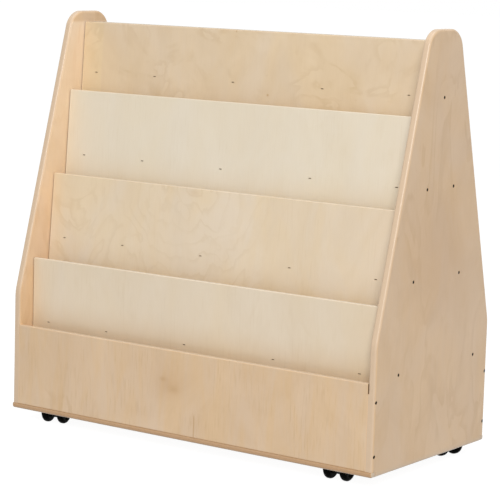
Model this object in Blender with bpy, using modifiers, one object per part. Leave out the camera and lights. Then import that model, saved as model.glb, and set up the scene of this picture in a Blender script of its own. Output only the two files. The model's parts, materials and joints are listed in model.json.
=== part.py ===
"""Double-sided book display cart on swivelling twin-wheel casters.

Metres, +Z up. The floor is z = 0 and the origin lies on it, below the middle of the cart.
+X is the cart's length and the front faces -Y. The rear is the front turned half round.
"""
import math

import bmesh
import bpy
from mathutils import Matrix, Vector

# Carcass
OVERALL_WIDTH = 0.914
SIDE_DEPTH = 0.431
OVERALL_HEIGHT = 0.877
SIDE_THICKNESS = 0.016
KINK_HEIGHT = 0.281
KINK_RADIUS = 0.080
TOP_WIDTH = 0.112
TOP_CORNER_RADIUS = 0.042
ROUNDOVER = 0.005
ROUNDOVER_BELOW_LIP = 0.020
DADO_DEPTH = 0.005

# Base panels, deck and trim
BASE_PANEL_THICKNESS = 0.012
BASE_PANEL_TOP = 0.209
DECK_THICKNESS = 0.012
TRIM_CLEARANCE = 0.027
TRIM_HEIGHT = 0.0107
TRIM_PROUD = 0.0015
TRIM_ROUND = 0.0035
EDGE_EASE = 0.0012

# Pockets: tier panels and the ledges that carry them, from the bottom up
TIER_1_TOP = 0.351
TIER_2_TOP = 0.530
TIER_3_TOP = 0.708
TIER_4_TOP = 0.854
TIER_1_LEAN = 0.0
TIER_2_LEAN = 4.3
TIER_3_LEAN = 3.8
TIER_4_LEAN = 3.3
TIER_PANEL_THICKNESS = 0.009
TIER_END_GAP = 0.0015
STRETCHER_DEPTH = 0.029
FIRST_LEDGE_HEIGHT = 0.2155
LEDGE_PITCH = 0.1765
LEDGE_THICKNESS = 0.012
LEDGE_DEPTH = 0.042

# Holes for the sunk screws through the side panels
SCREW_HEAD_RADIUS = 0.0022
SCREW_SHANK_RADIUS = 0.0015
SCREW_HEAD_HEIGHT = 0.0024
SCREW_LENGTH = 0.036
SCREW_SUNK = 0.0012
BASE_SCREW_INSET_LOW = 0.030
BASE_SCREW_INSET_HIGH = 0.0355
# Places across each ledge's depth, 0 at the tier panel and 1 at the ledge's inner edge
LEDGE_SCREWS_FRONT = (0.78, 0.56, 0.28)
LEDGE_SCREWS_REAR = (0.18, 0.66, 0.33)

# Slots for the staples through the tier panels: their places as shares of the panel's length, and
# how far each tier's row is shifted
STAPLE_PLACES = (-0.451, -0.269, -0.035, 0.217, 0.448)
STAPLE_1_SHIFT = 0.0004
STAPLE_2_SHIFT = -0.0024
STAPLE_3_SHIFT = 0.0060
STAPLE_4_SHIFT = -0.0040
STAPLE_CROWN = 0.0068
STAPLE_WIRE = 0.0013
STAPLE_LENGTH = 0.019
STAPLE_SUNK = 0.0004

# Casters
WHEEL_RADIUS = 0.025
WHEEL_WIDTH = 0.0155
WHEEL_SPACING = 0.0365
WHEEL_ROUND = 0.0065
WHEEL_SIDES = 20
AXLE_RADIUS = 0.003
AXLE_HEAD_RADIUS = 0.0046
AXLE_HEAD_HEIGHT = 0.0012
WHEEL_RECESS = 0.0020
TRAIL = 0.018
WHEEL_GAP = 0.0012
WHEEL_SIDE_GAP = 0.0006
HOOD_WALL = 0.0023
HOOD_WIDTH = 0.042
HOOD_SKIRT = 0.014
HUB_RADIUS = 0.0135
BOSS_RADIUS = 0.013
BOSS_RISE = 0.0020
KINGPIN_RADIUS = 0.0042
KINGPIN_HEAD_RADIUS = 0.0065
KINGPIN_WALL = 0.0040
WASHER_RADIUS = 0.012
WASHER_THICKNESS = 0.0010
PLATE_SIDE = 0.042
PLATE_THICKNESS = 0.0025
PLATE_CORNER = 0.004
PLATE_SCREW_INSET = 0.005
PLATE_SCREW_HEAD_RADIUS = 0.0034
PLATE_SCREW_HEAD_HEIGHT = 0.0019
PLATE_SCREW_RADIUS = 0.0017
PLATE_SCREW_BITE = 0.008
SWING_CLEARANCE = 0.001
FRONT_LEFT_EXTRA_INSET = 0.0175
FRONT_RIGHT_EXTRA_INSET = 0.0377

# Each caster: name, side in x, side in y, how much further it stands from the side panel than it has
# to, and how far its axle is turned from +X at rest
CASTERS = (
    ("front_left", -1, -1, FRONT_LEFT_EXTRA_INSET, 13.0),
    ("front_right", 1, -1, FRONT_RIGHT_EXTRA_INSET, 4.0),
    ("rear_right", 1, 1, 0.0, 73.0),
    ("rear_left", -1, 1, 0.0, 40.0),
)

# Gap between pieces that touch on the real cart
FIT = 0.0003
# How far a cutter runs past the face that it opens
OVERSHOOT = 0.002
# Points that are closer than this are one point, and faces flatter than this angle are one face
SAME_POINT = 0.00001
SAME_FACE = math.radians(0.5)
SHARP_ANGLE = math.radians(35.0)
# Flats on round pieces, and steps in rounded corners
SCREW_SIDES = 8
PIN_SIDES = 14
HOOD_SIDES = 36
KINK_STEPS = 3
TOP_CORNER_STEPS = 7
WHEEL_ROUND_STEPS = 2
ROUND_SEGMENTS = 3

# Worked out from the sizes above
HALF_WIDTH = OVERALL_WIDTH / 2
HALF_DEPTH = SIDE_DEPTH / 2
INNER_X = HALF_WIDTH - SIDE_THICKNESS
INNER_Y = HALF_DEPTH - BASE_PANEL_THICKNESS
TIER_TOPS = (TIER_1_TOP, TIER_2_TOP, TIER_3_TOP, TIER_4_TOP)
TIER_LEANS = (TIER_1_LEAN, TIER_2_LEAN, TIER_3_LEAN, TIER_4_LEAN)
STAPLE_ROW_SHIFTS = (STAPLE_1_SHIFT, STAPLE_2_SHIFT, STAPLE_3_SHIFT, STAPLE_4_SHIFT)
BODY_BOTTOM = TRIM_CLEARANCE + TRIM_HEIGHT + FIT
AXLE_HEIGHT = WHEEL_RADIUS * math.cos(math.pi / WHEEL_SIDES)
WEB_WIDTH = WHEEL_SPACING - WHEEL_WIDTH - 2 * WHEEL_SIDE_GAP
HOOD_RADIUS = WHEEL_RADIUS + WHEEL_GAP + HOOD_WALL
HOOD_TOP = AXLE_HEIGHT + HOOD_RADIUS + BOSS_RISE
PLATE_BOTTOM = HOOD_TOP + WASHER_THICKNESS + 2 * FIT
PLATE_TOP = PLATE_BOTTOM + PLATE_THICKNESS
DECK_BOTTOM = PLATE_TOP + FIT
DECK_TOP = DECK_BOTTOM + DECK_THICKNESS
TWIN_HALF_WIDTH = (WHEEL_SPACING + WHEEL_WIDTH) / 2
SWING_RADIUS = WHEEL_ROUND + math.hypot(
    TRAIL + WHEEL_RADIUS - WHEEL_ROUND, TWIN_HALF_WIDTH - WHEEL_ROUND)
CASTER_INSET = SWING_RADIUS + SWING_CLEARANCE


# Scene helpers

def clear_scene():
    for obj in list(bpy.data.objects):
        bpy.data.objects.remove(obj, do_unlink=True)


def new_collection(name):
    collection = bpy.data.collections.new(name)
    bpy.context.scene.collection.children.link(collection)
    return collection


def new_material(name, colour, roughness, metallic=0.0):
    material = bpy.data.materials.new(name)
    material.use_nodes = True
    shader = material.node_tree.nodes["Principled BSDF"]
    shader.inputs["Base Color"].default_value = (*colour, 1.0)
    shader.inputs["Roughness"].default_value = roughness
    shader.inputs["Metallic"].default_value = metallic
    return material


def new_empty(name, location=(0.0, 0.0, 0.0), turn=0.0):
    empty = bpy.data.objects.new(name, None)
    empty.location = location
    empty.rotation_euler = (0.0, 0.0, turn)
    PARTS.objects.link(empty)
    return empty


def add_part(name, mesh, material, parent=None, location=(0.0, 0.0, 0.0), rotation=(0.0, 0.0, 0.0)):
    obj = bpy.data.objects.new(name, mesh)
    obj.location = location
    obj.rotation_euler = rotation
    obj.parent = parent
    mesh.materials.clear()
    mesh.materials.append(material)
    PARTS.objects.link(obj)
    return obj


def add_cutter(name, mesh, parent=None, location=(0.0, 0.0, 0.0)):
    obj = bpy.data.objects.new(name, mesh)
    obj.location = location
    obj.parent = parent
    obj.hide_render = True
    obj.display_type = "WIRE"
    CUTTERS.objects.link(obj)
    return obj


def boolean(obj, cutter, operation="DIFFERENCE"):
    modifier = obj.modifiers.new(operation.title() + " " + cutter.name, "BOOLEAN")
    modifier.operation = operation
    modifier.object = cutter
    modifier.solver = "EXACT"


def bevel(obj, width, segments=2, by_weight=False):
    modifier = obj.modifiers.new("Bevel", "BEVEL")
    modifier.width = width
    modifier.segments = segments
    modifier.limit_method = "WEIGHT" if by_weight else "ANGLE"


# Mesh helpers

def mesh_from(bm, name):
    mesh = bpy.data.meshes.new(name)
    bm.to_mesh(mesh)
    bm.free()
    return mesh


def evaluated_mesh(obj):
    """The mesh of a helper object with its modifiers, in its own frame; the helper is removed."""
    bpy.context.view_layer.update()
    depsgraph = bpy.context.evaluated_depsgraph_get()
    mesh = bpy.data.meshes.new_from_object(obj.evaluated_get(depsgraph))
    bpy.data.objects.remove(obj, do_unlink=True)
    return mesh


def box_mesh(name, size):
    bm = bmesh.new()
    bmesh.ops.create_cube(bm, size=1.0, matrix=Matrix.Diagonal((*size, 1.0)))
    return mesh_from(bm, name)


def board(name, low, high, material, parent=None):
    """A plain board between two corners, with its origin at its middle."""
    low = Vector(low)
    high = Vector(high)
    return add_part(name, box_mesh(name, high - low), material, parent, (low + high) / 2)


def cylinder_mesh(name, radius, depth, sides):
    bm = bmesh.new()
    bmesh.ops.create_cone(bm, cap_ends=True, segments=sides, radius1=radius, radius2=radius, depth=depth)
    return mesh_from(bm, name)


def outline_mesh(name, points, thickness):
    """A flat outline, given as (x, y) points, thickened evenly about its plane."""
    curve = bpy.data.curves.new(name, "CURVE")
    curve.dimensions = "2D"
    curve.fill_mode = "BOTH"
    curve.extrude = thickness / 2
    spline = curve.splines.new("POLY")
    spline.points.add(len(points) - 1)
    for point, (x, y) in zip(spline.points, points):
        point.co = (x, y, 0.0, 1.0)
    spline.use_cyclic_u = True
    helper = bpy.data.objects.new(name, curve)
    CUTTERS.objects.link(helper)
    mesh = evaluated_mesh(helper)
    bm = bmesh.new()
    bm.from_mesh(mesh)
    bmesh.ops.remove_doubles(bm, verts=bm.verts, dist=SAME_POINT)
    bmesh.ops.dissolve_limit(bm, angle_limit=SAME_FACE, verts=bm.verts, edges=bm.edges)
    bmesh.ops.recalc_face_normals(bm, faces=bm.faces)
    bm.to_mesh(mesh)
    bm.free()
    return mesh


def turned_mesh(name, profile, sides, closed=False):
    """A profile of (radius, height) points, running down its outer side, turned about Z.

    Half a step of turn is added, so that a flat and not a corner lies towards -X and +X.
    """
    bm = bmesh.new()
    verts = [bm.verts.new((radius, 0.0, height)) for radius, height in profile]
    for first, second in zip(verts, verts[1:]):
        bm.edges.new((first, second))
    if closed:
        bm.edges.new((verts[-1], verts[0]))
    helper = bpy.data.objects.new(name, mesh_from(bm, name))
    CUTTERS.objects.link(helper)
    screw = helper.modifiers.new("Screw", "SCREW")
    screw.axis = "Z"
    screw.steps = sides
    screw.render_steps = sides
    screw.use_merge_vertices = True
    screw.merge_threshold = SAME_POINT
    mesh = evaluated_mesh(helper)
    mesh.transform(Matrix.Rotation(math.pi / sides, 4, "Z"))
    mesh.shade_smooth()
    mesh.set_sharp_from_angle(angle=SHARP_ANGLE)
    return mesh


def grouped_mesh(name, mesh, places):
    """Copies of one mesh at several places, as separate solids in one mesh."""
    bm = bmesh.new()
    for place in places:
        copy = mesh.copy()
        copy.transform(place)
        bm.from_mesh(copy)
        bpy.data.meshes.remove(copy)
    return mesh_from(bm, name)


def fillet(before, corner, after, radius, steps):
    """Points of the arc that rounds a corner of an outline."""
    corner = Vector(corner)
    to_before = (Vector(before) - corner).normalized()
    to_after = (Vector(after) - corner).normalized()
    half_angle = to_before.angle(to_after) / 2
    centre = corner + (to_before + to_after).normalized() * radius / math.sin(half_angle)
    start = corner + to_before * radius / math.tan(half_angle) - centre
    sweep = start.angle_signed(corner + to_after * radius / math.tan(half_angle) - centre)
    points = []
    for step in range(steps + 1):
        angle = -sweep * step / steps
        points.append(centre + Matrix.Rotation(angle, 2) @ start)
    return [tuple(point) for point in points]


# Wooden carcass

# Turns an outline's x, y and thickness directions to world Y, Z and X
OUTLINE_TO_SIDE = (math.pi / 2, 0.0, math.pi / 2)


def side_outline():
    top = TOP_WIDTH / 2
    front_foot = (-HALF_DEPTH, BODY_BOTTOM)
    lip = (-HALF_DEPTH, BASE_PANEL_TOP - ROUNDOVER_BELOW_LIP)
    kink = (-HALF_DEPTH, KINK_HEIGHT)
    shoulder = (-top, OVERALL_HEIGHT)
    far_shoulder = (top, OVERALL_HEIGHT)
    front = [front_foot, lip]
    front += fillet(front_foot, kink, shoulder, KINK_RADIUS, KINK_STEPS)
    front += fillet(kink, shoulder, far_shoulder, TOP_CORNER_RADIUS, TOP_CORNER_STEPS)
    rear = [(-y, z) for y, z in reversed(front)]
    return front + rear


def weigh_round_edges(mesh, inner_sign):
    """Mark the edges that are rounded over: the inner edge only above the base panels' lips."""
    bm = bmesh.new()
    bm.from_mesh(mesh)
    weights = bm.edges.layers.float.new("bevel_weight_edge")
    start = BASE_PANEL_TOP - ROUNDOVER_BELOW_LIP
    for edge in bm.edges:
        first, second = (vert.co for vert in edge.verts)
        along_outline = abs(first.z - second.z) < FIT
        at_bottom = max(first.y, second.y) < BODY_BOTTOM + FIT
        inner = first.z * inner_sign > 0.0
        below_lip = max(first.y, second.y) < start + FIT
        if along_outline and not at_bottom and not (inner and below_lip):
            edge[weights] = 1.0
    bm.to_mesh(mesh)
    bm.free()


def make_side_panel(name, sign):
    mesh = outline_mesh(name, side_outline(), SIDE_THICKNESS)
    weigh_round_edges(mesh, -sign)
    middle = sign * (HALF_WIDTH - SIDE_THICKNESS / 2)
    panel = add_part(name, mesh, SIDE_PLY, None, (middle, 0.0, 0.0), OUTLINE_TO_SIDE)
    bevel(panel, ROUNDOVER, ROUND_SEGMENTS, by_weight=True)
    groove_size = (2 * (DADO_DEPTH + FIT), 2 * INNER_Y, DECK_THICKNESS + 2 * FIT)
    groove = add_cutter(name + "_groove", box_mesh(name + "_groove", groove_size), None,
                        (sign * INNER_X, 0.0, (DECK_BOTTOM + DECK_TOP) / 2))
    boolean(panel, groove)
    return panel


def make_base_panel(name, parent):
    low = (-INNER_X + FIT, -HALF_DEPTH, BODY_BOTTOM)
    high = (INNER_X - FIT, -INNER_Y, BASE_PANEL_TOP)
    panel = board(name, low, high, BASE_PLY, parent)
    bevel(panel, EDGE_EASE)
    return panel


def make_deck():
    reach = INNER_X + DADO_DEPTH
    low = (-reach, -INNER_Y + FIT, DECK_BOTTOM)
    high = (reach, INNER_Y - FIT, DECK_TOP)
    return board("bottom_deck", low, high, INNER_PLY)


def make_long_trim(name, parent):
    low = (-HALF_WIDTH - TRIM_PROUD, -HALF_DEPTH - TRIM_PROUD, TRIM_CLEARANCE)
    high = (HALF_WIDTH + TRIM_PROUD, -INNER_Y, TRIM_CLEARANCE + TRIM_HEIGHT)
    bevel(board(name, low, high, TRIM_PLY, parent), TRIM_ROUND, ROUND_SEGMENTS)


def make_end_trim(name, parent):
    low = (INNER_X, -INNER_Y + FIT, TRIM_CLEARANCE)
    high = (HALF_WIDTH, INNER_Y - FIT, TRIM_CLEARANCE + TRIM_HEIGHT)
    bevel(board(name, low, high, TRIM_PLY, parent), TRIM_ROUND, ROUND_SEGMENTS)


# Tiers

class Tier:
    """Where one tier panel stands, and the ledge that it is stapled to."""

    def __init__(self, index, floor_top):
        self.lean = math.radians(TIER_LEANS[index])
        self.foot_y = 0.0
        self.foot_z = floor_top + FIT + TIER_PANEL_THICKNESS * math.sin(self.lean)
        self.length = (TIER_TOPS[index] - self.foot_z) / math.cos(self.lean)
        self.ledge_z = FIRST_LEDGE_HEIGHT + index * LEDGE_PITCH
        self.ledge_top = self.ledge_z + LEDGE_THICKNESS / 2
        self.ledge_bottom = self.ledge_z - LEDGE_THICKNESS / 2

    def behind_foot(self, height):
        """How far the panel's back face lies behind its foot, at a height."""
        return (height - self.foot_z) * math.tan(self.lean) + TIER_PANEL_THICKNESS / math.cos(self.lean)

    def back_y(self, height):
        """The panel's back face at a height."""
        return self.foot_y + self.behind_foot(height)

    def ledge_edge_y(self, height):
        """The ledge's edge against the panel's back, at a height."""
        return self.back_y(height) + FIT

    def staple_height(self):
        """How far up the panel's face the staples go in, to end in the ledge's middle."""
        sink = STAPLE_LENGTH * math.sin(self.lean)
        return (self.ledge_z - self.foot_z + sink) / math.cos(self.lean)


def lay_out_tiers():
    """One side's tiers. Its pockets share evenly what the panels and the stretcher leave of the depth."""
    tiers = []
    floor_top = DECK_TOP
    for index in range(len(TIER_TOPS)):
        tiers.append(Tier(index, floor_top))
        floor_top = tiers[-1].ledge_top
    last = tiers[-1]
    taken = last.behind_foot(last.ledge_z) + FIT + STRETCHER_DEPTH / 2
    taken += sum(tier.behind_foot(tier.ledge_top) for tier in tiers[:-1])
    pocket_depth = (INNER_Y - taken) / len(tiers)
    front = -INNER_Y
    for tier in tiers:
        tier.foot_y = front + pocket_depth
        front = tier.back_y(tier.ledge_top)
    return tiers


def make_tier_panel(name, tier, parent, material):
    size = (2 * (INNER_X - TIER_END_GAP), TIER_PANEL_THICKNESS, tier.length)
    mesh = box_mesh(name, size)
    mesh.transform(Matrix.Translation((0.0, size[1] / 2, size[2] / 2)))
    return add_part(name, mesh, material, parent, (0.0, tier.foot_y, tier.foot_z), (-tier.lean, 0.0, 0.0))


def make_ledge(name, tier, parent):
    inner_edge = tier.ledge_edge_y(tier.ledge_z) + LEDGE_DEPTH
    points = [
        (tier.ledge_edge_y(tier.ledge_bottom), tier.ledge_bottom),
        (inner_edge, tier.ledge_bottom),
        (inner_edge, tier.ledge_top),
        (tier.ledge_edge_y(tier.ledge_top), tier.ledge_top),
    ]
    mesh = outline_mesh(name, points, 2 * (INNER_X - FIT))
    return add_part(name, mesh, INNER_PLY, parent, rotation=OUTLINE_TO_SIDE)


def make_stretcher(tier):
    low_edge = tier.ledge_edge_y(tier.ledge_bottom)
    high_edge = tier.ledge_edge_y(tier.ledge_top)
    points = [
        (low_edge, tier.ledge_bottom),
        (-low_edge, tier.ledge_bottom),
        (-high_edge, tier.ledge_top),
        (high_edge, tier.ledge_top),
    ]
    mesh = outline_mesh("top_stretcher", points, 2 * (INNER_X - FIT))
    return add_part("top_stretcher", mesh, INNER_PLY, rotation=OUTLINE_TO_SIDE)


# Holes and slots for the fasteners

def staple_places(tier, index):
    """Places of one row of staples, each with its legs along +Y of the panel's own frame."""
    frame = Matrix.Translation((0.0, tier.foot_y, tier.foot_z)) @ Matrix.Rotation(-tier.lean, 4, "X")
    length = 2 * (INNER_X - TIER_END_GAP)
    for share in STAPLE_PLACES:
        along = share * length + STAPLE_ROW_SHIFTS[index]
        yield frame @ Matrix.Translation((along, 0.0, tier.staple_height()))


def staple_slot_mesh():
    size = (STAPLE_CROWN + 2 * FIT, STAPLE_SUNK + STAPLE_LENGTH + FIT + OVERSHOOT, STAPLE_WIRE + 2 * FIT)
    mesh = box_mesh("staple_slot", size)
    mesh.transform(Matrix.Translation((0.0, size[1] / 2 - OVERSHOOT, 0.0)))
    return mesh


def screw_hole_profile():
    """The hole for a countersunk screw that points down, with its sunk head's top at z = 0."""
    mouth = SCREW_SUNK + OVERSHOOT
    head = SCREW_HEAD_RADIUS + FIT
    shank = SCREW_SHANK_RADIUS + FIT
    end = -SCREW_LENGTH - FIT
    return [(0.0, mouth), (head, mouth), (head, -FIT), (shank, -SCREW_HEAD_HEIGHT - FIT),
            (shank, end), (0.0, end)]


def side_screw_spots(tiers):
    """Where the side screws go in, as (y, z) on a side panel's face."""
    base_y = HALF_DEPTH - BASE_PANEL_THICKNESS / 2
    spots = []
    for y in (-base_y, base_y):
        spots.append((y, BODY_BOTTOM + BASE_SCREW_INSET_LOW))
        spots.append((y, BASE_PANEL_TOP - BASE_SCREW_INSET_HIGH))
    for tier, front, rear in zip(tiers, LEDGE_SCREWS_FRONT, LEDGE_SCREWS_REAR):
        edge = -tier.ledge_edge_y(tier.ledge_z)
        spots.append((front * LEDGE_DEPTH - edge, tier.ledge_z))
        spots.append((edge - rear * LEDGE_DEPTH, tier.ledge_z))
    spots.append((0.0, tiers[-1].ledge_z))
    return spots


def side_screw_places(sign, tiers):
    """Screws that point inwards from one side panel, sunk below its face."""
    aim = Matrix.Rotation(sign * math.pi / 2, 4, "Y")
    face = sign * (HALF_WIDTH - SCREW_SUNK)
    return [Matrix.Translation((face, y, z)) @ aim for y, z in side_screw_spots(tiers)]


# Casters

def wheel_profile():
    """A closed ring: dished outer face, rounded tread, flat inner face, bore."""
    half = WHEEL_WIDTH / 2
    bore = AXLE_RADIUS + FIT
    recess = AXLE_HEAD_RADIUS + 2 * FIT
    floor = half - WHEEL_RECESS
    arc_x = WHEEL_RADIUS - WHEEL_ROUND
    arc_z = half - WHEEL_ROUND
    quarter = math.pi / 2
    rounds = [quarter - quarter * step / WHEEL_ROUND_STEPS for step in range(WHEEL_ROUND_STEPS + 1)]
    outer = [(arc_x + WHEEL_ROUND * math.cos(a), arc_z + WHEEL_ROUND * math.sin(a)) for a in rounds]
    inner = [(x, -z) for x, z in reversed(outer)]
    return [(bore, floor), (recess, floor), (recess, half - FIT)] + outer + inner + [(bore, -half)]


def axle_profile():
    end = WHEEL_SPACING / 2 + WHEEL_WIDTH / 2 - WHEEL_RECESS + FIT
    head = end + AXLE_HEAD_HEIGHT
    return [(0.0, head), (AXLE_HEAD_RADIUS, head), (AXLE_HEAD_RADIUS, end), (AXLE_RADIUS, end),
            (AXLE_RADIUS, -end), (AXLE_HEAD_RADIUS, -end), (AXLE_HEAD_RADIUS, -head), (0.0, -head)]


def kingpin_profile():
    """A riveted pin with a countersunk head, flush with the plate's top, down to the axle's height."""
    return [(0.0, PLATE_TOP), (KINGPIN_HEAD_RADIUS, PLATE_TOP), (KINGPIN_RADIUS, PLATE_BOTTOM + FIT),
            (KINGPIN_RADIUS, AXLE_HEIGHT), (0.0, AXLE_HEIGHT)]


def kingpin_hole_profile():
    """The pin's hole through the plate and down into the hood."""
    mouth = PLATE_TOP + OVERSHOOT
    head = KINGPIN_HEAD_RADIUS + FIT
    radius = KINGPIN_RADIUS + FIT
    end = AXLE_HEIGHT - FIT
    return [(0.0, mouth), (head, mouth), (head, PLATE_TOP), (radius, PLATE_BOTTOM + FIT),
            (radius, end), (0.0, end)]


def washer_profile():
    bottom = HOOD_TOP + FIT
    top = bottom + WASHER_THICKNESS
    bore = KINGPIN_RADIUS + FIT
    return [(bore, top), (WASHER_RADIUS, top), (WASHER_RADIUS, bottom), (bore, bottom)]


def across(mesh):
    """Lay a piece that was made along Z along X instead."""
    mesh.transform(Matrix.Rotation(math.pi / 2, 4, "Y"))
    return mesh


def make_hood(prefix, swivel):
    """The moulded body: a hood over both wheels, a web between them and a boss for the kingpin."""
    name = prefix + "_hood"
    axle_place = (0.0, -TRAIL, AXLE_HEIGHT)
    mesh = across(cylinder_mesh(name, HOOD_RADIUS, HOOD_WIDTH, HOOD_SIDES))
    mesh.transform(Matrix.Translation(axle_place))
    hood = add_part(name, mesh, HOOD_PLASTIC, swivel)
    skirt_size = (2 * HOOD_WIDTH, 4 * HOOD_RADIUS, 2 * HOOD_RADIUS)
    skirt_middle = (0.0, -TRAIL, AXLE_HEIGHT + HOOD_SKIRT - HOOD_RADIUS)
    boolean(hood, add_cutter(name + "_skirt", box_mesh(name + "_skirt", skirt_size), swivel, skirt_middle))

    hub = across(cylinder_mesh(name + "_hub", HUB_RADIUS, WEB_WIDTH - FIT, HOOD_SIDES // 2))
    boolean(hood, add_cutter(name + "_hub", hub, swivel, axle_place), "UNION")
    neck_front = KINGPIN_RADIUS + KINGPIN_WALL
    neck_low = AXLE_HEIGHT - KINGPIN_WALL
    neck_size = (WEB_WIDTH - 2 * FIT, TRAIL + neck_front, HOOD_TOP - BOSS_RISE - FIT - neck_low)
    neck = box_mesh(name + "_neck", neck_size)
    neck_middle = (0.0, (neck_front - TRAIL) / 2, neck_low + neck_size[2] / 2)
    boolean(hood, add_cutter(name + "_neck", neck, swivel, neck_middle), "UNION")
    boss_height = HOOD_TOP - AXLE_HEIGHT - HUB_RADIUS
    boss = cylinder_mesh(name + "_boss", BOSS_RADIUS, boss_height, HOOD_SIDES // 2)
    boss_middle = (0.0, 0.0, HOOD_TOP - boss_height / 2)
    boolean(hood, add_cutter(name + "_boss", boss, swivel, boss_middle), "UNION")

    well_width = HOOD_WIDTH
    well = across(cylinder_mesh(name + "_wells", WHEEL_RADIUS + WHEEL_GAP, well_width, HOOD_SIDES))
    shift = (WEB_WIDTH + well_width) / 2
    wells = grouped_mesh(name + "_wells", well, [Matrix.Translation((side * shift, 0.0, 0.0))
                                                 for side in (-1, 1)])
    boolean(hood, add_cutter(name + "_wells", wells, swivel, axle_place))
    bore = across(cylinder_mesh(name + "_axle_bore", AXLE_RADIUS + FIT, 2 * HOOD_WIDTH, PIN_SIDES))
    boolean(hood, add_cutter(name + "_axle_bore", bore, swivel, axle_place))
    socket = turned_mesh(name + "_socket", kingpin_hole_profile(), PIN_SIDES)
    boolean(hood, add_cutter(name + "_socket", socket, swivel))
    return hood


def make_wheels(prefix, swivel):
    for label, side in (("left", -1), ("right", 1)):
        mesh = turned_mesh(prefix + "_wheel", wheel_profile(), WHEEL_SIDES, closed=True)
        place = (side * WHEEL_SPACING / 2, -TRAIL, AXLE_HEIGHT)
        name = prefix + "_wheel_" + label
        add_part(name, mesh, WHEEL_PLASTIC, swivel, place, (0.0, side * math.pi / 2, 0.0))


def make_plate(prefix, place):
    name = prefix + "_plate"
    middle = (place.x, place.y, (PLATE_BOTTOM + PLATE_TOP) / 2)
    plate = add_part(name, box_mesh(name, (PLATE_SIDE, PLATE_SIDE, PLATE_THICKNESS)), ZINC, None, middle)
    bm = bmesh.new()
    bm.from_mesh(plate.data)
    weights = bm.edges.layers.float.new("bevel_weight_edge")
    for edge in bm.edges:
        if abs(edge.verts[0].co.z - edge.verts[1].co.z) > FIT:
            edge[weights] = 1.0
    bm.to_mesh(plate.data)
    bm.free()
    bevel(plate, PLATE_CORNER, by_weight=True)
    hole = turned_mesh(name + "_pin_hole", kingpin_hole_profile(), PIN_SIDES)
    boolean(plate, add_cutter(name + "_pin_hole", hole, None, (place.x, place.y, 0.0)))
    return plate


def plate_screw_places(place):
    reach = PLATE_SIDE / 2 - PLATE_SCREW_INSET
    upwards = Matrix.Rotation(math.pi, 4, "X")
    for x in (-reach, reach):
        for y in (-reach, reach):
            yield Matrix.Translation((place.x + x, place.y + y, PLATE_BOTTOM + FIT)) @ upwards


def plate_screw_profile():
    """A pan-head screw that points down, joined to the plate just above its head's seat."""
    end = -PLATE_THICKNESS - PLATE_SCREW_BITE
    return [(0.0, PLATE_SCREW_HEAD_HEIGHT), (PLATE_SCREW_HEAD_RADIUS, PLATE_SCREW_HEAD_HEIGHT),
            (PLATE_SCREW_HEAD_RADIUS, 0.0), (PLATE_SCREW_RADIUS, 0.0),
            (PLATE_SCREW_RADIUS, end + PLATE_SCREW_RADIUS), (0.0, end)]


def plate_screw_hole_profile():
    end = -PLATE_THICKNESS - PLATE_SCREW_BITE - FIT
    radius = PLATE_SCREW_RADIUS + FIT
    return [(0.0, 0.0), (radius, 0.0), (radius, end), (0.0, end)]


def make_caster(prefix, x_side, y_side, extra, turn):
    """One caster; returns its fixed plate and the middle of its swivel on the floor."""
    place = Vector((x_side * (INNER_X - CASTER_INSET - extra), y_side * (INNER_Y - CASTER_INSET), 0.0))
    swivel = new_empty(prefix + "_swivel", place, math.radians(turn))
    make_hood(prefix, swivel)
    make_wheels(prefix, swivel)
    axle = turned_mesh(prefix + "_axle", axle_profile(), PIN_SIDES)
    add_part(prefix + "_axle", axle, STEEL, swivel, (0.0, -TRAIL, AXLE_HEIGHT), (0.0, math.pi / 2, 0.0))
    kingpin = turned_mesh(prefix + "_kingpin", kingpin_profile(), PIN_SIDES)
    add_part(prefix + "_kingpin", kingpin, STEEL, None, place)
    washer = turned_mesh(prefix + "_washer", washer_profile(), PIN_SIDES, closed=True)
    add_part(prefix + "_washer", washer, WASHER_PLASTIC, None, place)
    return make_plate(prefix, place), place


# The cart

def make_carcass():
    """Boards and tiers; returns the boards that the side screws go into, and the tiers."""
    tiers = lay_out_tiers()
    slot = staple_slot_mesh()
    stretcher = make_stretcher(tiers[-1])
    screwed = [make_side_panel("left_side_panel", -1), make_side_panel("right_side_panel", 1), stretcher]
    for side, turn in (("front", 0.0), ("rear", math.pi)):
        group = new_empty(side + "_side", turn=turn)
        screwed.append(make_base_panel(side + "_base_panel", group))
        make_long_trim(side + "_trim", group)
        for index, tier in enumerate(tiers):
            number = str(index + 1)
            panel = make_tier_panel(side + "_tier_panel_" + number, tier, group, TIER_PLIES[index])
            slots = grouped_mesh("slots", slot, staple_places(tier, index))
            cutter = add_cutter(side + "_staple_slots_" + number, slots, group)
            boolean(panel, cutter)
            if index < len(LEDGE_SCREWS_FRONT):
                backing = make_ledge(side + "_ledge_" + number, tier, group)
                screwed.append(backing)
            else:
                backing = stretcher
            boolean(backing, cutter)
    for side, turn in (("right", 0.0), ("left", math.pi)):
        make_end_trim(side + "_trim", new_empty(side + "_end", turn=turn))
    return screwed, tiers


def drill_side_holes(screwed, tiers):
    hole = turned_mesh("screw_hole", screw_hole_profile(), SCREW_SIDES)
    for side, sign in (("left", -1), ("right", 1)):
        holes = grouped_mesh("screw_holes", hole, side_screw_places(sign, tiers))
        cutter = add_cutter(side + "_screw_holes", holes)
        other = ("left" if side == "right" else "right") + "_side_panel"
        for piece in screwed:
            if piece.name != other:
                boolean(piece, cutter)


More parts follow.
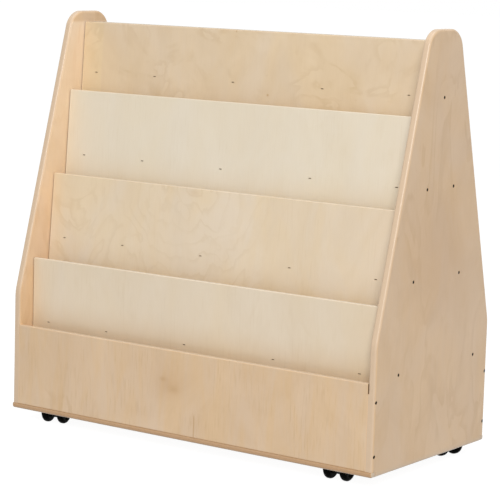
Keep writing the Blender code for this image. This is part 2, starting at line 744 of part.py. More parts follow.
def make_running_gear(deck):
    screw = turned_mesh("plate_screw", plate_screw_profile(), SCREW_SIDES)
    hole = turned_mesh("plate_screw_hole", plate_screw_hole_profile(), SCREW_SIDES)
    for corner, x_side, y_side, extra, turn in CASTERS:
        plate, place = make_caster(corner + "_caster", x_side, y_side, extra, turn)
        places = list(plate_screw_places(place))
        screws = add_cutter(corner + "_plate_screws", grouped_mesh("plate_screws", screw, places))
        boolean(plate, screws, "UNION")
        boolean(deck, add_cutter(corner + "_pilot_holes", grouped_mesh("pilot_holes", hole, places)))


clear_scene()
PARTS = new_collection("book_display_cart")
CUTTERS = new_collection("cutters")

SIDE_PLY = new_material("side_ply", (0.60, 0.43, 0.28), 0.45)
BASE_PLY = new_material("base_ply", (0.65, 0.46, 0.29), 0.45)
INNER_PLY = new_material("inner_ply", (0.66, 0.50, 0.34), 0.50)
TRIM_PLY = new_material("trim_ply", (0.52, 0.33, 0.18), 0.50)
TIER_PLIES = (
    new_material("tier_ply_1", (0.72, 0.60, 0.44), 0.45),
    new_material("tier_ply_2", (0.73, 0.60, 0.43), 0.45),
    new_material("tier_ply_3", (0.77, 0.67, 0.52), 0.45),
    new_material("tier_ply_4", (0.72, 0.56, 0.38), 0.45),
)
ZINC = new_material("zinc_plate", (0.62, 0.62, 0.60), 0.35, 1.0)
STEEL = new_material("axle_steel", (0.55, 0.55, 0.55), 0.30, 1.0)
HOOD_PLASTIC = new_material("hood_plastic", (0.012, 0.012, 0.012), 0.40)
WHEEL_PLASTIC = new_material("wheel_plastic", (0.010, 0.010, 0.010), 0.45)
WASHER_PLASTIC = new_material("washer_nylon", (0.75, 0.74, 0.70), 0.50)

boards, cart_tiers = make_carcass()
drill_side_holes(boards, cart_tiers)
make_running_gear(make_deck())
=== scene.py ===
# %% [markdown]
# # A plywood book display cart
# This lesson dresses a cart that was first drawn as solid parts. The solids give every size and every
# joint. The lesson adds what the eye wants: rounded plywood edges, veneer with grain, sunk screws,
# staples and moulded caster wheels. Each step says what a piece is on the real cart, how it could be
# made, and why this way was chosen. All lengths are in metres, and the front of the cart faces -Y.

# %% Load the solid parts
import contextlib
import json
import math
from dataclasses import dataclass, fields, replace

import bmesh
import bpy
from mathutils import Matrix, Vector


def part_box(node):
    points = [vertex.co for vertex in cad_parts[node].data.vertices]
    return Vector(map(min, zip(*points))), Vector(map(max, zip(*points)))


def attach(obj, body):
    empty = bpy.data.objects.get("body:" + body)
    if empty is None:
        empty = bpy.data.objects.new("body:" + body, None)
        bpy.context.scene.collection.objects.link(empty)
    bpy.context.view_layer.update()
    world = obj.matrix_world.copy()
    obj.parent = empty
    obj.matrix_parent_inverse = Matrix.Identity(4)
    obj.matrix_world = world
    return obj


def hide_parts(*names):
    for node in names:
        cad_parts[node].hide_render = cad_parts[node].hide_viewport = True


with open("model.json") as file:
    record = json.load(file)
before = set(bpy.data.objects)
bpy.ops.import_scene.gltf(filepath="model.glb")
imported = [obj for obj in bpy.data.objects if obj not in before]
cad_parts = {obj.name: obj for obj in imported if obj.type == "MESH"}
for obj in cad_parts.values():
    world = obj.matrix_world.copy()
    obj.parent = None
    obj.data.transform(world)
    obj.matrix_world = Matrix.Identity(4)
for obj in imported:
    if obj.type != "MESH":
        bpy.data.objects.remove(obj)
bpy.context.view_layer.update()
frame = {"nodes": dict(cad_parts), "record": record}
nodes = frame["nodes"]

# %% [markdown]
# ## The camera
# The picture to match was taken with a long lens, a little above the middle of the cart and from its
# front right. A long lens keeps the cart's upright lines nearly parallel. The camera is set from three
# angles and a place, which were fitted to the corners of the boards. The lens follows from its focal
# length in picture widths, so it doesn't depend on the render's size.

# %% Camera
SENSOR_WIDTH = 36.0
FOCAL_IN_WIDTHS = 4.1326
PICTURE_SHIFT = (0.0008, -0.0004)
CAMERA_PLACE = Vector((2.4748, -3.4858, 1.0095))
CAMERA_AZIMUTH = math.radians(35.34)
CAMERA_ELEVATION = math.radians(7.967)
CAMERA_ROLL = math.radians(1.6946)


def direction(azimuth, elevation):
    """The way to look from the cart: azimuth 0 is the front, and it grows towards the right side."""
    return Vector((
        math.sin(azimuth) * math.cos(elevation),
        -math.cos(azimuth) * math.cos(elevation),
        math.sin(elevation),
    ))


level_right = Vector((math.cos(CAMERA_AZIMUTH), math.sin(CAMERA_AZIMUTH), 0.0))
backwards = direction(CAMERA_AZIMUTH, CAMERA_ELEVATION)
level_up = backwards.cross(level_right)
right = math.cos(CAMERA_ROLL) * level_right + math.sin(CAMERA_ROLL) * level_up
camera_data = bpy.data.cameras.new("camera")
camera_data.sensor_fit = "HORIZONTAL"
camera_data.sensor_width = SENSOR_WIDTH
camera_data.lens = SENSOR_WIDTH * FOCAL_IN_WIDTHS
camera_data.shift_x, camera_data.shift_y = PICTURE_SHIFT
camera = bpy.data.objects.new("camera", camera_data)
bpy.context.scene.collection.objects.link(camera)
turn = Matrix((right, backwards.cross(right), backwards)).transposed().to_4x4()
camera.matrix_world = Matrix.Translation(CAMERA_PLACE) @ turn
bpy.context.scene.camera = camera
bpy.context.scene.view_settings.view_transform = "Standard"
print("lens:", round(camera_data.lens, 1), "mm")

# %% [markdown]
# ## Shader maths
# A finish is a little network of nodes. Wiring each Math node by hand hides the idea behind the wires,
# so a small class stands for one output of a node, and adding or multiplying two of them adds the Math
# node that does it. A second class makes any other node: it takes the node's type, its settings and
# what goes into its sockets.

# %% Wires and networks
class Wire:
    """One output of a node. Arithmetic on it adds the Math node that works it out."""

    def __init__(self, network, socket):
        self.network = network
        self.socket = socket

    def __add__(self, other):
        return self.network.math("ADD", self, other)

    def __sub__(self, other):
        return self.network.math("SUBTRACT", self, other)

    def __rsub__(self, other):
        return self.network.math("SUBTRACT", other, self)

    def __mul__(self, other):
        return self.network.math("MULTIPLY", self, other)

    def __truediv__(self, other):
        return self.network.math("DIVIDE", self, other)

    __radd__ = __add__
    __rmul__ = __mul__


class Network:
    """A node tree that is built up one node at a time."""

    def __init__(self, tree):
        self.tree = tree

    def node(self, kind, settings=None, inputs=None, output=0):
        made = self.tree.nodes.new(kind)
        for setting, value in (settings or {}).items():
            setattr(made, setting, value)
        for socket, value in (inputs or {}).items():
            self.feed(made.inputs[socket], value)
        return Wire(self, made.outputs[output])

    def feed(self, socket, value):
        if isinstance(value, Wire):
            self.tree.links.new(value.socket, socket)
        else:
            socket.default_value = value

    def math(self, operation, *values):
        return self.node("ShaderNodeMath", {"operation": operation}, dict(enumerate(values)))

    def noise(self, vector, detail=2.0, roughness=0.5, distortion=0.0):
        return self.node("ShaderNodeTexNoise", None, {
            "Vector": vector, "Scale": 1.0, "Detail": detail, "Roughness": roughness,
            "Distortion": distortion})

    def ramp(self, value, low, high):
        """0 below low and 1 above high, with a smooth rise between."""
        settings = {"interpolation_type": "SMOOTHSTEP"}
        return self.node("ShaderNodeMapRange", settings, {0: value, 1: low, 2: high, 3: 0.0, 4: 1.0})

    def mix(self, share, first, second, blend="MIX"):
        settings = {"data_type": "RGBA", "blend_type": blend}
        return self.node("ShaderNodeMix", settings, {0: share, 6: first, 7: second}, 2)


print("wires and networks are ready")

# %% [markdown]
# ## A finish
# A finish is a network with one Principled shader at its end. What is the same all over the surface is
# set on the shader itself, and what varies is wired in. Colours are written as a screen shows them, and
# turned into the light that they stand for.

# %% Finishes and colours
BRIGHTEST = 0.95


class Finish(Network):
    """A material with one Principled shader."""

    def __init__(self, name, **constants):
        self.material = bpy.data.materials.new(name)
        self.material.use_nodes = True
        super().__init__(self.material.node_tree)
        self.shader = self.tree.nodes["Principled BSDF"]
        for socket, value in constants.items():
            self.shader.inputs[socket.replace("_", " ")].default_value = value

    def object_point(self):
        return self.node("ShaderNodeTexCoord", None, None, "Object")

    def set(self, socket, value):
        self.feed(self.shader.inputs[socket], value)

    def bump(self, height, strength, distance):
        self.set("Normal", self.node("ShaderNodeBump", None, {
            "Height": height, "Strength": strength, "Distance": distance}))


def linear(*shades):
    """A colour that was read off a screen, as the light that it stands for."""
    return tuple((s / 255 / 12.92) if s < 11 else ((s / 255 + 0.055) / 1.055) ** 2.4 for s in shades)


def scaled(colour, *factors):
    """A colour times one factor, or times one for each of red, green and blue."""
    factors = factors if len(factors) == 3 else factors * 3
    return tuple(min(c * f, BRIGHTEST) for c, f in zip(colour, factors))


print("finishes and colours are ready")

# %% [markdown]
# ## Floor and light
# The cart stands in an even white studio. A lit floor turns grey away from the lamps, so to the camera
# the floor glows nearly white by itself, and a little lit grey on top of the glow keeps the cart's
# shadow. As a lamp it is plain grey paper. The world does the same: it is white to the camera and in
# reflections, and a softer white as a lamp.

# %% Floor and world
FLOOR_SIZE = 60.0
FLOOR_GLOW = 0.95
FLOOR_GREY = (0.16, 0.16, 0.16, 1.0)
PAPER_GREY = (0.42, 0.42, 0.42, 1.0)
WHITE = (1.0, 1.0, 1.0, 1.0)
WORLD_LIGHT = 0.42


def seen_directly(network):
    """1 where the camera, a reflection or a clear piece looks straight at a surface."""
    looks = [network.node("ShaderNodeLightPath", None, None, name) for name in (
        "Is Camera Ray", "Is Glossy Ray", "Is Transmission Ray")]
    return network.math("MAXIMUM", network.math("MAXIMUM", looks[0], looks[1]), looks[2])


bpy.ops.object.select_all(action="DESELECT")
bpy.ops.mesh.primitive_plane_add(size=FLOOR_SIZE, location=(0.0, 0.0, 0.0))
floor = bpy.context.object
floor.name = "floor"
paper = Finish("floor_white", Roughness=0.9, Base_Color=PAPER_GREY)
glow = paper.node("ShaderNodeEmission", None, {"Color": WHITE, "Strength": FLOOR_GLOW})
shaded = paper.node("ShaderNodeBsdfDiffuse", None, {"Color": FLOOR_GREY})
seen = paper.node("ShaderNodeAddShader", None, {0: glow, 1: shaded})
lit = Wire(paper, paper.shader.outputs[0])
both = paper.node("ShaderNodeMixShader", None, {0: seen_directly(paper), 1: lit, 2: seen})
paper.feed(paper.tree.nodes["Material Output"].inputs["Surface"], both)
floor.data.materials.append(paper.material)

world = bpy.data.worlds.new("studio")
world.use_nodes = True
bpy.context.scene.world = world
sky = Network(world.node_tree)
soft_sky = sky.node("ShaderNodeBackground", None, {"Color": WHITE, "Strength": WORLD_LIGHT})
white_sky = sky.node("ShaderNodeBackground", None, {"Color": WHITE, "Strength": 1.0})
whole_sky = sky.node("ShaderNodeMixShader", None, {0: seen_directly(sky), 1: soft_sky, 2: white_sky})
sky.feed(world.node_tree.nodes["World Output"].inputs["Surface"], whole_sky)
print("floor:", FLOOR_SIZE, "m, world light:", WORLD_LIGHT)

# %% [markdown]
# ## Lamps
# Two broad lamps give the boards their shape. The key stands behind the camera and higher. It fills the
# corner at the left, and the right side's edge shades the ends of the tiers. The one overhead draws a
# light line along the boards' upper edges. Broad lamps are soft, as in a studio, so no hard shadow cuts
# the boards.

# %% Lamps
AIM = Vector((0.0, 0.0, 0.42))
KEY_POWER = 505.0
KEY_SIZE = 3.4
KEY_DISTANCE = 9.0
KEY_AZIMUTH = math.radians(35.0)
KEY_ELEVATION = math.radians(27.0)
TOP_POWER = 36.0
TOP_SIZE = 2.6
TOP_DISTANCE = 3.6


def square_lamp(name, power, size, distance, towards):
    """A square lamp that shines on the cart from a direction."""
    lamp_data = bpy.data.lights.new(name, "AREA")
    lamp_data.shape = "SQUARE"
    lamp_data.size = size
    lamp_data.energy = power
    lamp = bpy.data.objects.new(name, lamp_data)
    facing = towards.to_track_quat("Z", "Y").to_matrix().to_4x4()
    lamp.matrix_world = Matrix.Translation(AIM + distance * towards) @ facing
    bpy.context.scene.collection.objects.link(lamp)
    print(name, "lamp at", tuple(round(v, 2) for v in lamp.matrix_world.translation))


square_lamp("key", KEY_POWER, KEY_SIZE, KEY_DISTANCE, direction(KEY_AZIMUTH, KEY_ELEVATION))
square_lamp("top", TOP_POWER, TOP_SIZE, TOP_DISTANCE, Vector((0.0, 0.0, 1.0)))

# %% [markdown]
# ## The cart's sizes
# The solids were drawn from a list of sizes. The ones that the lesson needs are repeated here, and what
# can be measured is taken from the solids, so that each new piece lands on its solid.

# %% Sizes
SIDE_THICKNESS = 0.016
HALF_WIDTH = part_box("right_side_panel")[1].x
HALF_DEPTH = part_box("right_side_panel")[1].y
OVERALL_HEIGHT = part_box("right_side_panel")[1].z
BODY_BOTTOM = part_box("right_side_panel")[0].z
INNER_X = HALF_WIDTH - SIDE_THICKNESS
BASE_THICKNESS = 0.012
BASE_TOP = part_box("front_base_panel")[1].z
DECK_LOW, DECK_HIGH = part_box("bottom_deck")
TIER_THICKNESS = 0.009
TIER_LEANS = tuple(math.radians(angle) for angle in (0.0, 4.3, 3.8, 3.3))
TIERS_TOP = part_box("front_tier_panel_4")[1].z
LEDGE_MIDDLES = (0.2155, 0.392, 0.5685, 0.745)
FIT = 0.0003


class Tier:
    """Where the front one of a pair of tier panels stands, measured on its solid."""

    def __init__(self, number):
        low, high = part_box(f"front_tier_panel_{number}")
        self.number = number
        self.lean = TIER_LEANS[number - 1]
        self.half_length = high.x
        self.foot_y = low.y
        self.foot_z = low.z + TIER_THICKNESS * math.sin(self.lean)
        self.length = (high.z - self.foot_z) / math.cos(self.lean)
        self.ledge_z = LEDGE_MIDDLES[number - 1]
        lip = BASE_TOP if number == 1 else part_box(f"front_tier_panel_{number - 1}")[1].z
        self.lip = (lip - self.foot_z) / math.cos(self.lean)

    def frame(self):
        return Matrix.Translation((0.0, self.foot_y, self.foot_z)) @ Matrix.Rotation(-self.lean, 4, "X")


tiers = [Tier(number) for number in (1, 2, 3, 4)]
for tier in tiers:
    print("tier", tier.number, "length", round(tier.length, 4), "pocket's lip at", round(tier.lip, 4))

# %% [markdown]
# ## Birch plywood
# The boards are plywood: thin sheets of birch, glued with their grain crossed, under a clear satin
# lacquer. A picture of wood would slide or repeat on the boards, so the finish is worked out in space.
# Every board has its own frame: X across the grain, Y through the sheets from the outer face, and Z along
# the grain. No two boards were cut from the same sheet, so a short list says what sets a board apart.

# %% What sets a board apart
@dataclass
class Knot:
    """A knot's place and half sizes, how far the figure bends round it, and how dark it is."""

    x: float
    z: float
    half_wide: float
    half_high: float
    hill: float
    dark: float


@dataclass
class Seam:
    """Where two strips of veneer meet: the line's place, its upper end and how dark it is."""

    x: float
    top: float
    dark: float


@dataclass
class Veneer:
    """A board's looks. Lengths are in the board's own frame, and pairs go across and along the grain."""

    tone: tuple  # the outer face's mean colour
    flame: tuple = (9.0, 3.5)  # changes of the figure in a metre
    swirl: float = 1.0  # how far the figure is swirled
    rings: float = 3.0  # how many lines the figure has
    figure: float = 0.3  # how dark its lines are
    spread: float = 0.0  # how much more of the board shows them
    patches: tuple = (34.0, 20.0)  # changes in a metre between where they show and where not
    calm: tuple = None  # from where to where they fade out, across the grain
    streaks: float = 0.4  # how dark the short streaks are
    warmth: float = 0.6  # how far the warm and the pale areas differ
    warm_areas: tuple = (8.0, 4.0)  # changes between those areas in a metre
    blotch: float = 0.4  # how far the dark and the light areas differ
    knots: tuple = ()
    seams: tuple = ()
    strip: float = None  # painted bounce light: left of this line the board is made paler, for light bounced off the left side
    # painted light and shade of the inner face
    inner: tuple = None  # the inner face's tones: low, high, and above the tiers
    foot: tuple = None  # the heights between which the foot starts, its tone and its share
    # painted shade: the heights below which a tier panel is darkened down in its pocket, and the tint
    pocket: tuple = None  # the heights between which the pocket starts, and its tint
    layers: float = 0.3  # how plainly the sheets show on the edges
    edge: tuple = (1.08, 1.15, 1.31)  # the edges' tint
    # painted shade: the board's ends beyond this are darkened, as the gaps beside the sides would be shaded
    half_length: float = None  # where the dark ends are
    joint: float = 0.0  # how dark the line is where another board sits on this one
    right_end: tuple = None  # where the right end starts, and its tone


print("a board's looks:", len(fields(Veneer)), "values")

# %% [markdown]
# ## A board's own frame
# A Mapping node turns a point of the cart into a point of the board, and three numbers come out: across
# the grain, through the sheets and along the grain. Noise that is squeezed across the grain and drawn out
# along it looks like wood at any size, from broad clouds down to fibres. A seed moves each board to
# another place in the noise.

# %% Plywood's frame and noise
LACQUER = {"IOR": 1.48, "Coat_Weight": 0.40, "Coat_Roughness": 0.20, "Coat_IOR": 1.5}


class Plywood(Finish):
    """A lacquered finish in a board's own frame, which has a place and a turn on the cart."""

    def __init__(self, name, veneer, seed, place, turned, thickness, plies):
        super().__init__(name, **LACQUER)
        self.veneer = veneer
        self.seed = seed
        self.thickness = thickness
        self.plies = plies
        mapped = self.node("ShaderNodeMapping", {"vector_type": "TEXTURE"}, {
            "Vector": self.object_point(), "Location": place, "Rotation": turned})
        self.across, self.through, self.along = (
            self.node("ShaderNodeSeparateXYZ", None, {0: mapped}, axis) for axis in (0, 1, 2))

    def grain(self, per_metre_across, per_metre_along, shift, detail=2.0, roughness=0.5, distortion=0.0):
        """Noise with so many changes in a metre across and along the grain."""
        point = self.node("ShaderNodeCombineXYZ", None, {
            0: self.across * per_metre_across, 1: self.along * per_metre_along, 2: self.seed + shift})
        return self.noise(point, detail, roughness, distortion)

    def bell(self, squared):
        """1 in the middle and nearly 0 at a squared distance of 4."""
        return self.math("EXPONENT", squared * -1.0)

    def tint(self, *factors):
        """The board's tone, made lighter, darker or warmer by three factors."""
        return (*scaled(self.veneer.tone, *factors), 1.0)


print("plywood's frame and noise are ready")

# %% [markdown]
# ## Figure, knots and streaks
# The figure that peeling a log leaves is made of contour lines of a stretched and swirled noise, each
# with one soft and one crisp side. A knot is a hill in that noise, so the lines run round it. Other noises
# say where the figure shows, and make short dark streaks, fibres and cloudy areas. All of it adds up to
# one number, the shade, and 0.5 is the board's mean tone.

# %% Knots and seams
FLAME_NOISE = (0.0, 3.0, 0.5)
SEAM_HALF = 0.0011
SEAM_FADE = 0.01


def knots_and_seams(wood):
    """The noise that holds the figure, with its knots, and how dark the knots and seams are."""
    field = wood.grain(*wood.veneer.flame, *FLAME_NOISE, wood.veneer.swirl)
    stain = 0.0
    for knot in wood.veneer.knots:
        east = (wood.across - knot.x) / knot.half_wide
        north = (wood.along - knot.z) / knot.half_high
        squared = east * east + north * north
        field = field + wood.bell(squared) * knot.hill
        stain = wood.bell(squared * 4.0) * knot.dark + stain
    for seam in wood.veneer.seams:
        offset = (wood.across - seam.x) / SEAM_HALF
        below = 1.0 - wood.ramp(wood.along, seam.top - SEAM_FADE, seam.top)
        stain = wood.bell(offset * offset) * below * seam.dark + stain
    return field, stain


print("knots and seams are ready")

# %% Shade
SOFT_SIDE, CRISP_SIDE = (0.54, 0.86), (0.88, 0.97)
REGION_NOISE = (5.0, 2.5, 31.1)
REGION_SHOWS, PATCH_SHOWS = (0.36, 0.60), (0.30, 0.62)
PATCH_SHIFT = 37.7
STREAK_NOISE = (300.0, 20.0, 3.1)
STREAK_AREA_NOISE = (14.0, 5.0, 11.9, 3.0)
STREAK_SHOWS, STREAK_AREA_SHOWS = (0.50, 0.78), (0.36, 0.62)
CLOUD_NOISE = (8.0, 5.0, 19.7, 4.0, 0.6, 0.7)
LINE_MEAN, STREAK_MEAN, NOISE_MEAN = 0.2, 0.12, 0.5
FIBRE_SHARE = 0.30


def figure_lines(wood, field):
    """The figure's lines, where the board shows them."""
    veneer = wood.veneer
    ring = wood.math("FRACT", field * veneer.rings)
    line = wood.ramp(ring, *SOFT_SIDE) - wood.ramp(ring, *CRISP_SIDE)
    region, patch = wood.grain(*REGION_NOISE), wood.grain(*veneer.patches, PATCH_SHIFT)
    shown = wood.ramp(region, *(limit - veneer.spread for limit in REGION_SHOWS))
    shown = shown * wood.ramp(patch, *(limit - veneer.spread for limit in PATCH_SHOWS))
    if veneer.calm is not None:
        shown = shown * (1.0 - wood.ramp(wood.across, *veneer.calm))
    return (line - LINE_MEAN) * (shown * veneer.figure)


def short_streaks(wood):
    """Short dark streaks along the grain, in some areas only."""
    areas = wood.ramp(wood.grain(*STREAK_AREA_NOISE), *STREAK_AREA_SHOWS)
    return wood.ramp(wood.grain(*STREAK_NOISE), *STREAK_SHOWS) * areas


def veneer_shade(wood, field, streak, fibre):
    """How dark the veneer is: 0 is light, 1 is dark and 0.5 is the mean."""
    lines = figure_lines(wood, field)
    fine = (streak - STREAK_MEAN) * wood.veneer.streaks + (fibre - NOISE_MEAN) * FIBRE_SHARE
    clouds = (wood.grain(*CLOUD_NOISE) - NOISE_MEAN) * (2.0 * wood.veneer.blotch)
    return lines + fine + clouds + 0.5


print("the veneer's shade is ready")

# %% [markdown]
# ## The faces
# A shade alone would be grey. Dark wood is warmer than light wood, and some areas of a veneer are more
# orange than others, so the shade runs between a light and a dark tint, and a slow noise between a pale
# and an orange pair of them. On top come the stains of knots and seams, a strip of painted bounce light,
# the inner face's painted light and shade, a foot that changes tone, and painted shade in the pockets.

# %% Face colours
LIGHT_TINT, DARK_TINT = (1.08, 1.09, 1.12), (0.92, 0.87, 0.79)
PALE_STEPS, ORANGE_STEPS = (0.0, 0.005, 0.045), (0.01, -0.02, -0.075)
WARM_NOISE = (23.9, 3.0, 0.55, 0.9)
WARM_SHOWS = (0.30, 0.70)
KNOT_TINT = (0.72, 0.55, 0.36)
# painted bounce light: the paler tint at a board's left end and how softly it fades
BOUNCE_LIGHT_TINT = (1.03, 1.045, 1.02, 1.0)
BOUNCE_LIGHT_FADE = 0.003
# painted light and shade on the inner face: where it turns from the lower tone to the lighter one, and to the
# tone above the tiers
INSIDE_SHADE_TO_LIGHT = (0.35, 0.80)
SHADE_ABOVE_TIERS = (TIERS_TOP - 0.004, TIERS_TOP + 0.004)
INNER_FACE = (0.93, 0.99)


def shaded_tone(wood, tone, shade, warm):
    """A tone with its light and dark, in its pale and its orange areas."""
    pair = []
    for steps in (PALE_STEPS, ORANGE_STEPS):
        area = scaled(tone, *(1.0 + step * wood.veneer.warmth for step in steps))
        light, dark = scaled(area, *LIGHT_TINT), scaled(area, *DARK_TINT)
        pair.append(wood.mix(shade, (*light, 1.0), (*dark, 1.0)))
    return wood.mix(warm, *pair)


def inner_face_light_and_shade(wood, face, shade, warm):
    """The inner face, painted paler for bounced light, with painted shade low down and above the tiers."""
    low, high, top = (shaded_tone(wood, tone, shade, warm) for tone in wood.veneer.inner)
    # painted shade low in the pockets and above the tiers, painted bounced light between
    inside = wood.mix(wood.ramp(wood.along, *INSIDE_SHADE_TO_LIGHT), low, high)
    inside = wood.mix(wood.ramp(wood.along, *SHADE_ABOVE_TIERS), inside, top)
    depths = (share * wood.thickness for share in INNER_FACE)
    return wood.mix(wood.ramp(wood.through, *depths), face, inside)


def face_colour(wood, shade, stain):
    """The colour of the board's faces."""
    veneer = wood.veneer
    warm = wood.ramp(wood.grain(*veneer.warm_areas, *WARM_NOISE), *WARM_SHOWS)
    face = shaded_tone(wood, veneer.tone, shade, warm)
    if veneer.knots or veneer.seams:
        face = wood.mix(stain, face, wood.tint(*KNOT_TINT))
    # painted light: the board is made paler left of the line, for light bounced off the left side panel
    if veneer.strip is not None:
        left = 1.0 - wood.ramp(wood.across, veneer.strip - BOUNCE_LIGHT_FADE, veneer.strip + BOUNCE_LIGHT_FADE)
        face = wood.mix(left, face, BOUNCE_LIGHT_TINT, "MULTIPLY")
    if veneer.inner is not None:
        face = inner_face_light_and_shade(wood, face, shade, warm)
    if veneer.foot is not None:
        low, high, tone, share = veneer.foot
        face = wood.mix((1.0 - wood.ramp(wood.along, low, high)) * share, face, (*tone, 1.0))
    # painted shade: down in its pocket, behind the board in front, a tier panel is made darker and warmer
    if veneer.pocket is not None:
        low, high, tint = veneer.pocket
        face = wood.mix(1.0 - wood.ramp(wood.along, low, high), face, (*tint, 1.0), "MULTIPLY")
    return face


print("face colours are ready")

# %% [markdown]
# ## The layers
# Going through the board, sheets along and across the grain alternate, with a thin dark line of glue
# between them. The finish knows how deep each point lies, so the layers show on every edge and rounded
# corner by themselves, and no edge has to be painted. The board's two ends get painted shade, as the
# thin gaps where they meet the sides would be shaded, and the line where another board sits on it is darker.

# %% Layers and ends
GLUE_TINT = (0.62, 0.49, 0.36)
EDGE_FIBRE_TINT = (0.94, 0.93, 0.91)
END_GRAIN_TINTS = (1.00, 0.96, 0.94), (0.88, 0.80, 0.72)
# painted shade: the dark tint of the gaps at the boards' ends
GAP_SHADE_TINT = (0.22, 0.14, 0.08)
GLUE_HALF = 0.30
CROSSED_FADE = 0.12
FACE_SHEET, CORE_SHEET = 0.55, 1.0
END_SHADE_FADE, END_SHADE_DEPTHS = (0.0004, 0.0001), (0.0004, 0.0010)
SEAT_FADE = (0.0030, 0.0012)
RIGHT_END_FADE = 0.0006


def crossed_sheets(wood):
    """How far through the sheets a point lies, a wave over them, and 1 in the crossed sheets."""
    depth = wood.through / (wood.thickness / wood.plies)
    sheet = wood.math("MAXIMUM", wood.math("MINIMUM", depth, wood.plies - 0.5), 0.5)
    wave = wood.math("SINE", sheet * math.pi)
    return sheet, wave, wood.ramp(wave * -1.0, -CROSSED_FADE, CROSSED_FADE)


def layered(wood, face, fibre, sheet, wave, crossed):
    """The face's colour outside, and the sheets and their glue between the faces."""
    layers, edge = wood.veneer.layers, scaled(wood.veneer.tone, *wood.veneer.edge)
    last = wood.ramp(sheet, wood.plies - CORE_SHEET, wood.plies - FACE_SHEET)
    between = wood.ramp(sheet, FACE_SHEET, CORE_SHEET) * (1.0 - last)
    glue = (1.0 - wood.ramp(wood.math("ABSOLUTE", wave), 0.0, GLUE_HALF)) * layers
    core = wood.mix(fibre, (*edge, 1.0), (*scaled(edge, *EDGE_FIBRE_TINT), 1.0))
    end_grain = wood.mix(fibre, *(wood.tint(*factors) for factors in END_GRAIN_TINTS))
    colour = wood.mix(between, face, wood.mix(crossed * layers, core, end_grain))
    return wood.mix(glue, colour, wood.tint(*GLUE_TINT))


def with_ends(wood, colour):
    """Painted shade at the ends, as in the gaps beside the sides, the line under the next board, and an end
    of another tone.
    """
    veneer = wood.veneer
    # painted shade: the ends are darkened, as the narrow gaps beside the sides would be shaded
    if veneer.half_length is not None:
        distance = wood.math("ABSOLUTE", wood.across)
        end = wood.ramp(distance, *(veneer.half_length - inset for inset in END_SHADE_FADE))
        colour = wood.mix(end * wood.ramp(wood.through, *END_SHADE_DEPTHS), colour, wood.tint(*GAP_SHADE_TINT))
    if veneer.joint:
        seat = wood.ramp(wood.through, *(wood.thickness - inset for inset in SEAT_FADE))
        colour = wood.mix(seat * veneer.joint, colour, wood.tint(*GLUE_TINT))
    if veneer.right_end is not None:
        start_x, tone = veneer.right_end
        colour = wood.mix(wood.ramp(wood.along, start_x - RIGHT_END_FADE, start_x), colour, (*tone, 1.0))
    return colour


print("layers and ends are ready")

# %% The whole finish
FIBRE_NOISE = (900.0, 26.0, 5.7, 2.0, 0.6)
LACQUER_GLOSS, FIBRE_GLOSS, CROSSED_GLOSS = 0.40, 0.14, 0.12
FIBRE_RISE, STREAK_DIP = 0.7, 0.3
WOOD_BUMP = (0.12, 0.0003)


def birch_ply(name, veneer, seed, place, turned, thickness, plies):
    """Lacquered plywood for a board whose frame has this place and turn."""
    wood = Plywood(name, veneer, seed, place, turned, thickness, plies)
    field, stain = knots_and_seams(wood)
    streak, fibre = short_streaks(wood), wood.grain(*FIBRE_NOISE)
    face = face_colour(wood, veneer_shade(wood, field, streak, fibre), stain)
    sheet, wave, crossed = crossed_sheets(wood)
    colour = layered(wood, face, fibre, sheet, wave, crossed)
    wood.set("Base Color", with_ends(wood, colour))
    gloss = LACQUER_GLOSS + (fibre - NOISE_MEAN) * FIBRE_GLOSS
    wood.set("Roughness", gloss + crossed * CROSSED_GLOSS)
    wood.bump(fibre * FIBRE_RISE - streak * STREAK_DIP, *WOOD_BUMP)
    return wood.material


print("the plywood finish is ready")

# %% [markdown]
# ## The sides' and the base's veneer
# The sides and the base panels are tan, and the sides' figure waves up the board. Inside, where the
# pockets are, the sides are painted paler for light bounced off the tiers, with painted shade low in the
# pockets and above the tiers. The front base panel has a knot near its middle and a seam below it. At the
# foot, the base panels show the dark line where they meet the trim, and the sides fade to the trim's tone.

# %% Sides' and base panels' finishes
FRONT, REAR = (0.0, 0.0, 0.0), (0.0, 0.0, math.pi)
SIDE_PLIES, BASE_PLIES = 11, 9
SIDE_TONE = linear(221, 191, 154)
# painted light and shade: inner tones low, high and above the tiers, paler than the outer face for bounced
# light
INSIDE_LIGHT_AND_SHADE_TONES = (linear(233, 202, 166), linear(243, 219, 192), linear(225, 194, 156))
BASE_TONE = linear(217, 190, 156)
END_TRIM_TONE = linear(211, 190, 164)
SIDE_VENEER = Veneer(
    SIDE_TONE, flame=(11.0, 3.4), swirl=0.9, rings=4.0, figure=0.40, spread=0.04, patches=(24.0, 7.0),
    streaks=0.16, warmth=1.2, blotch=0.75, edge=(0.975, 1.02, 1.15), inner=INSIDE_LIGHT_AND_SHADE_TONES,
    knots=(Knot(0.0, 0.44, 0.24, 0.24, 0.0, 0.30),),
    foot=(BODY_BOTTOM - 0.011, BODY_BOTTOM + 0.002, END_TRIM_TONE, 0.6))
BASE_VENEER = Veneer(
    BASE_TONE, flame=(10.0, 4.0), rings=2.6, figure=0.6, streaks=0.60, warmth=1.45, blotch=0.8,
    warm_areas=(20.0, 4.0), layers=0.15, half_length=INNER_X,
    foot=(BODY_BOTTOM + 0.0004, BODY_BOTTOM + 0.0017, scaled(BASE_TONE, *GLUE_TINT), 0.75))
FRONT_BASE_VENEER = replace(
    BASE_VENEER, seams=(Seam(0.0302, 0.088, 0.80),),
    knots=(Knot(-0.036, 0.139, 0.076, 0.060, 0.40, 0.30), Knot(-0.051, 0.148, 0.016, 0.010, 0.20, 0.34),
           Knot(-0.022, 0.130, 0.024, 0.016, 0.20, 0.28)))
REAR_BASE_VENEER = replace(BASE_VENEER, knots=(Knot(0.150, 0.110, 0.015, 0.016, 0.40, 0.30),))

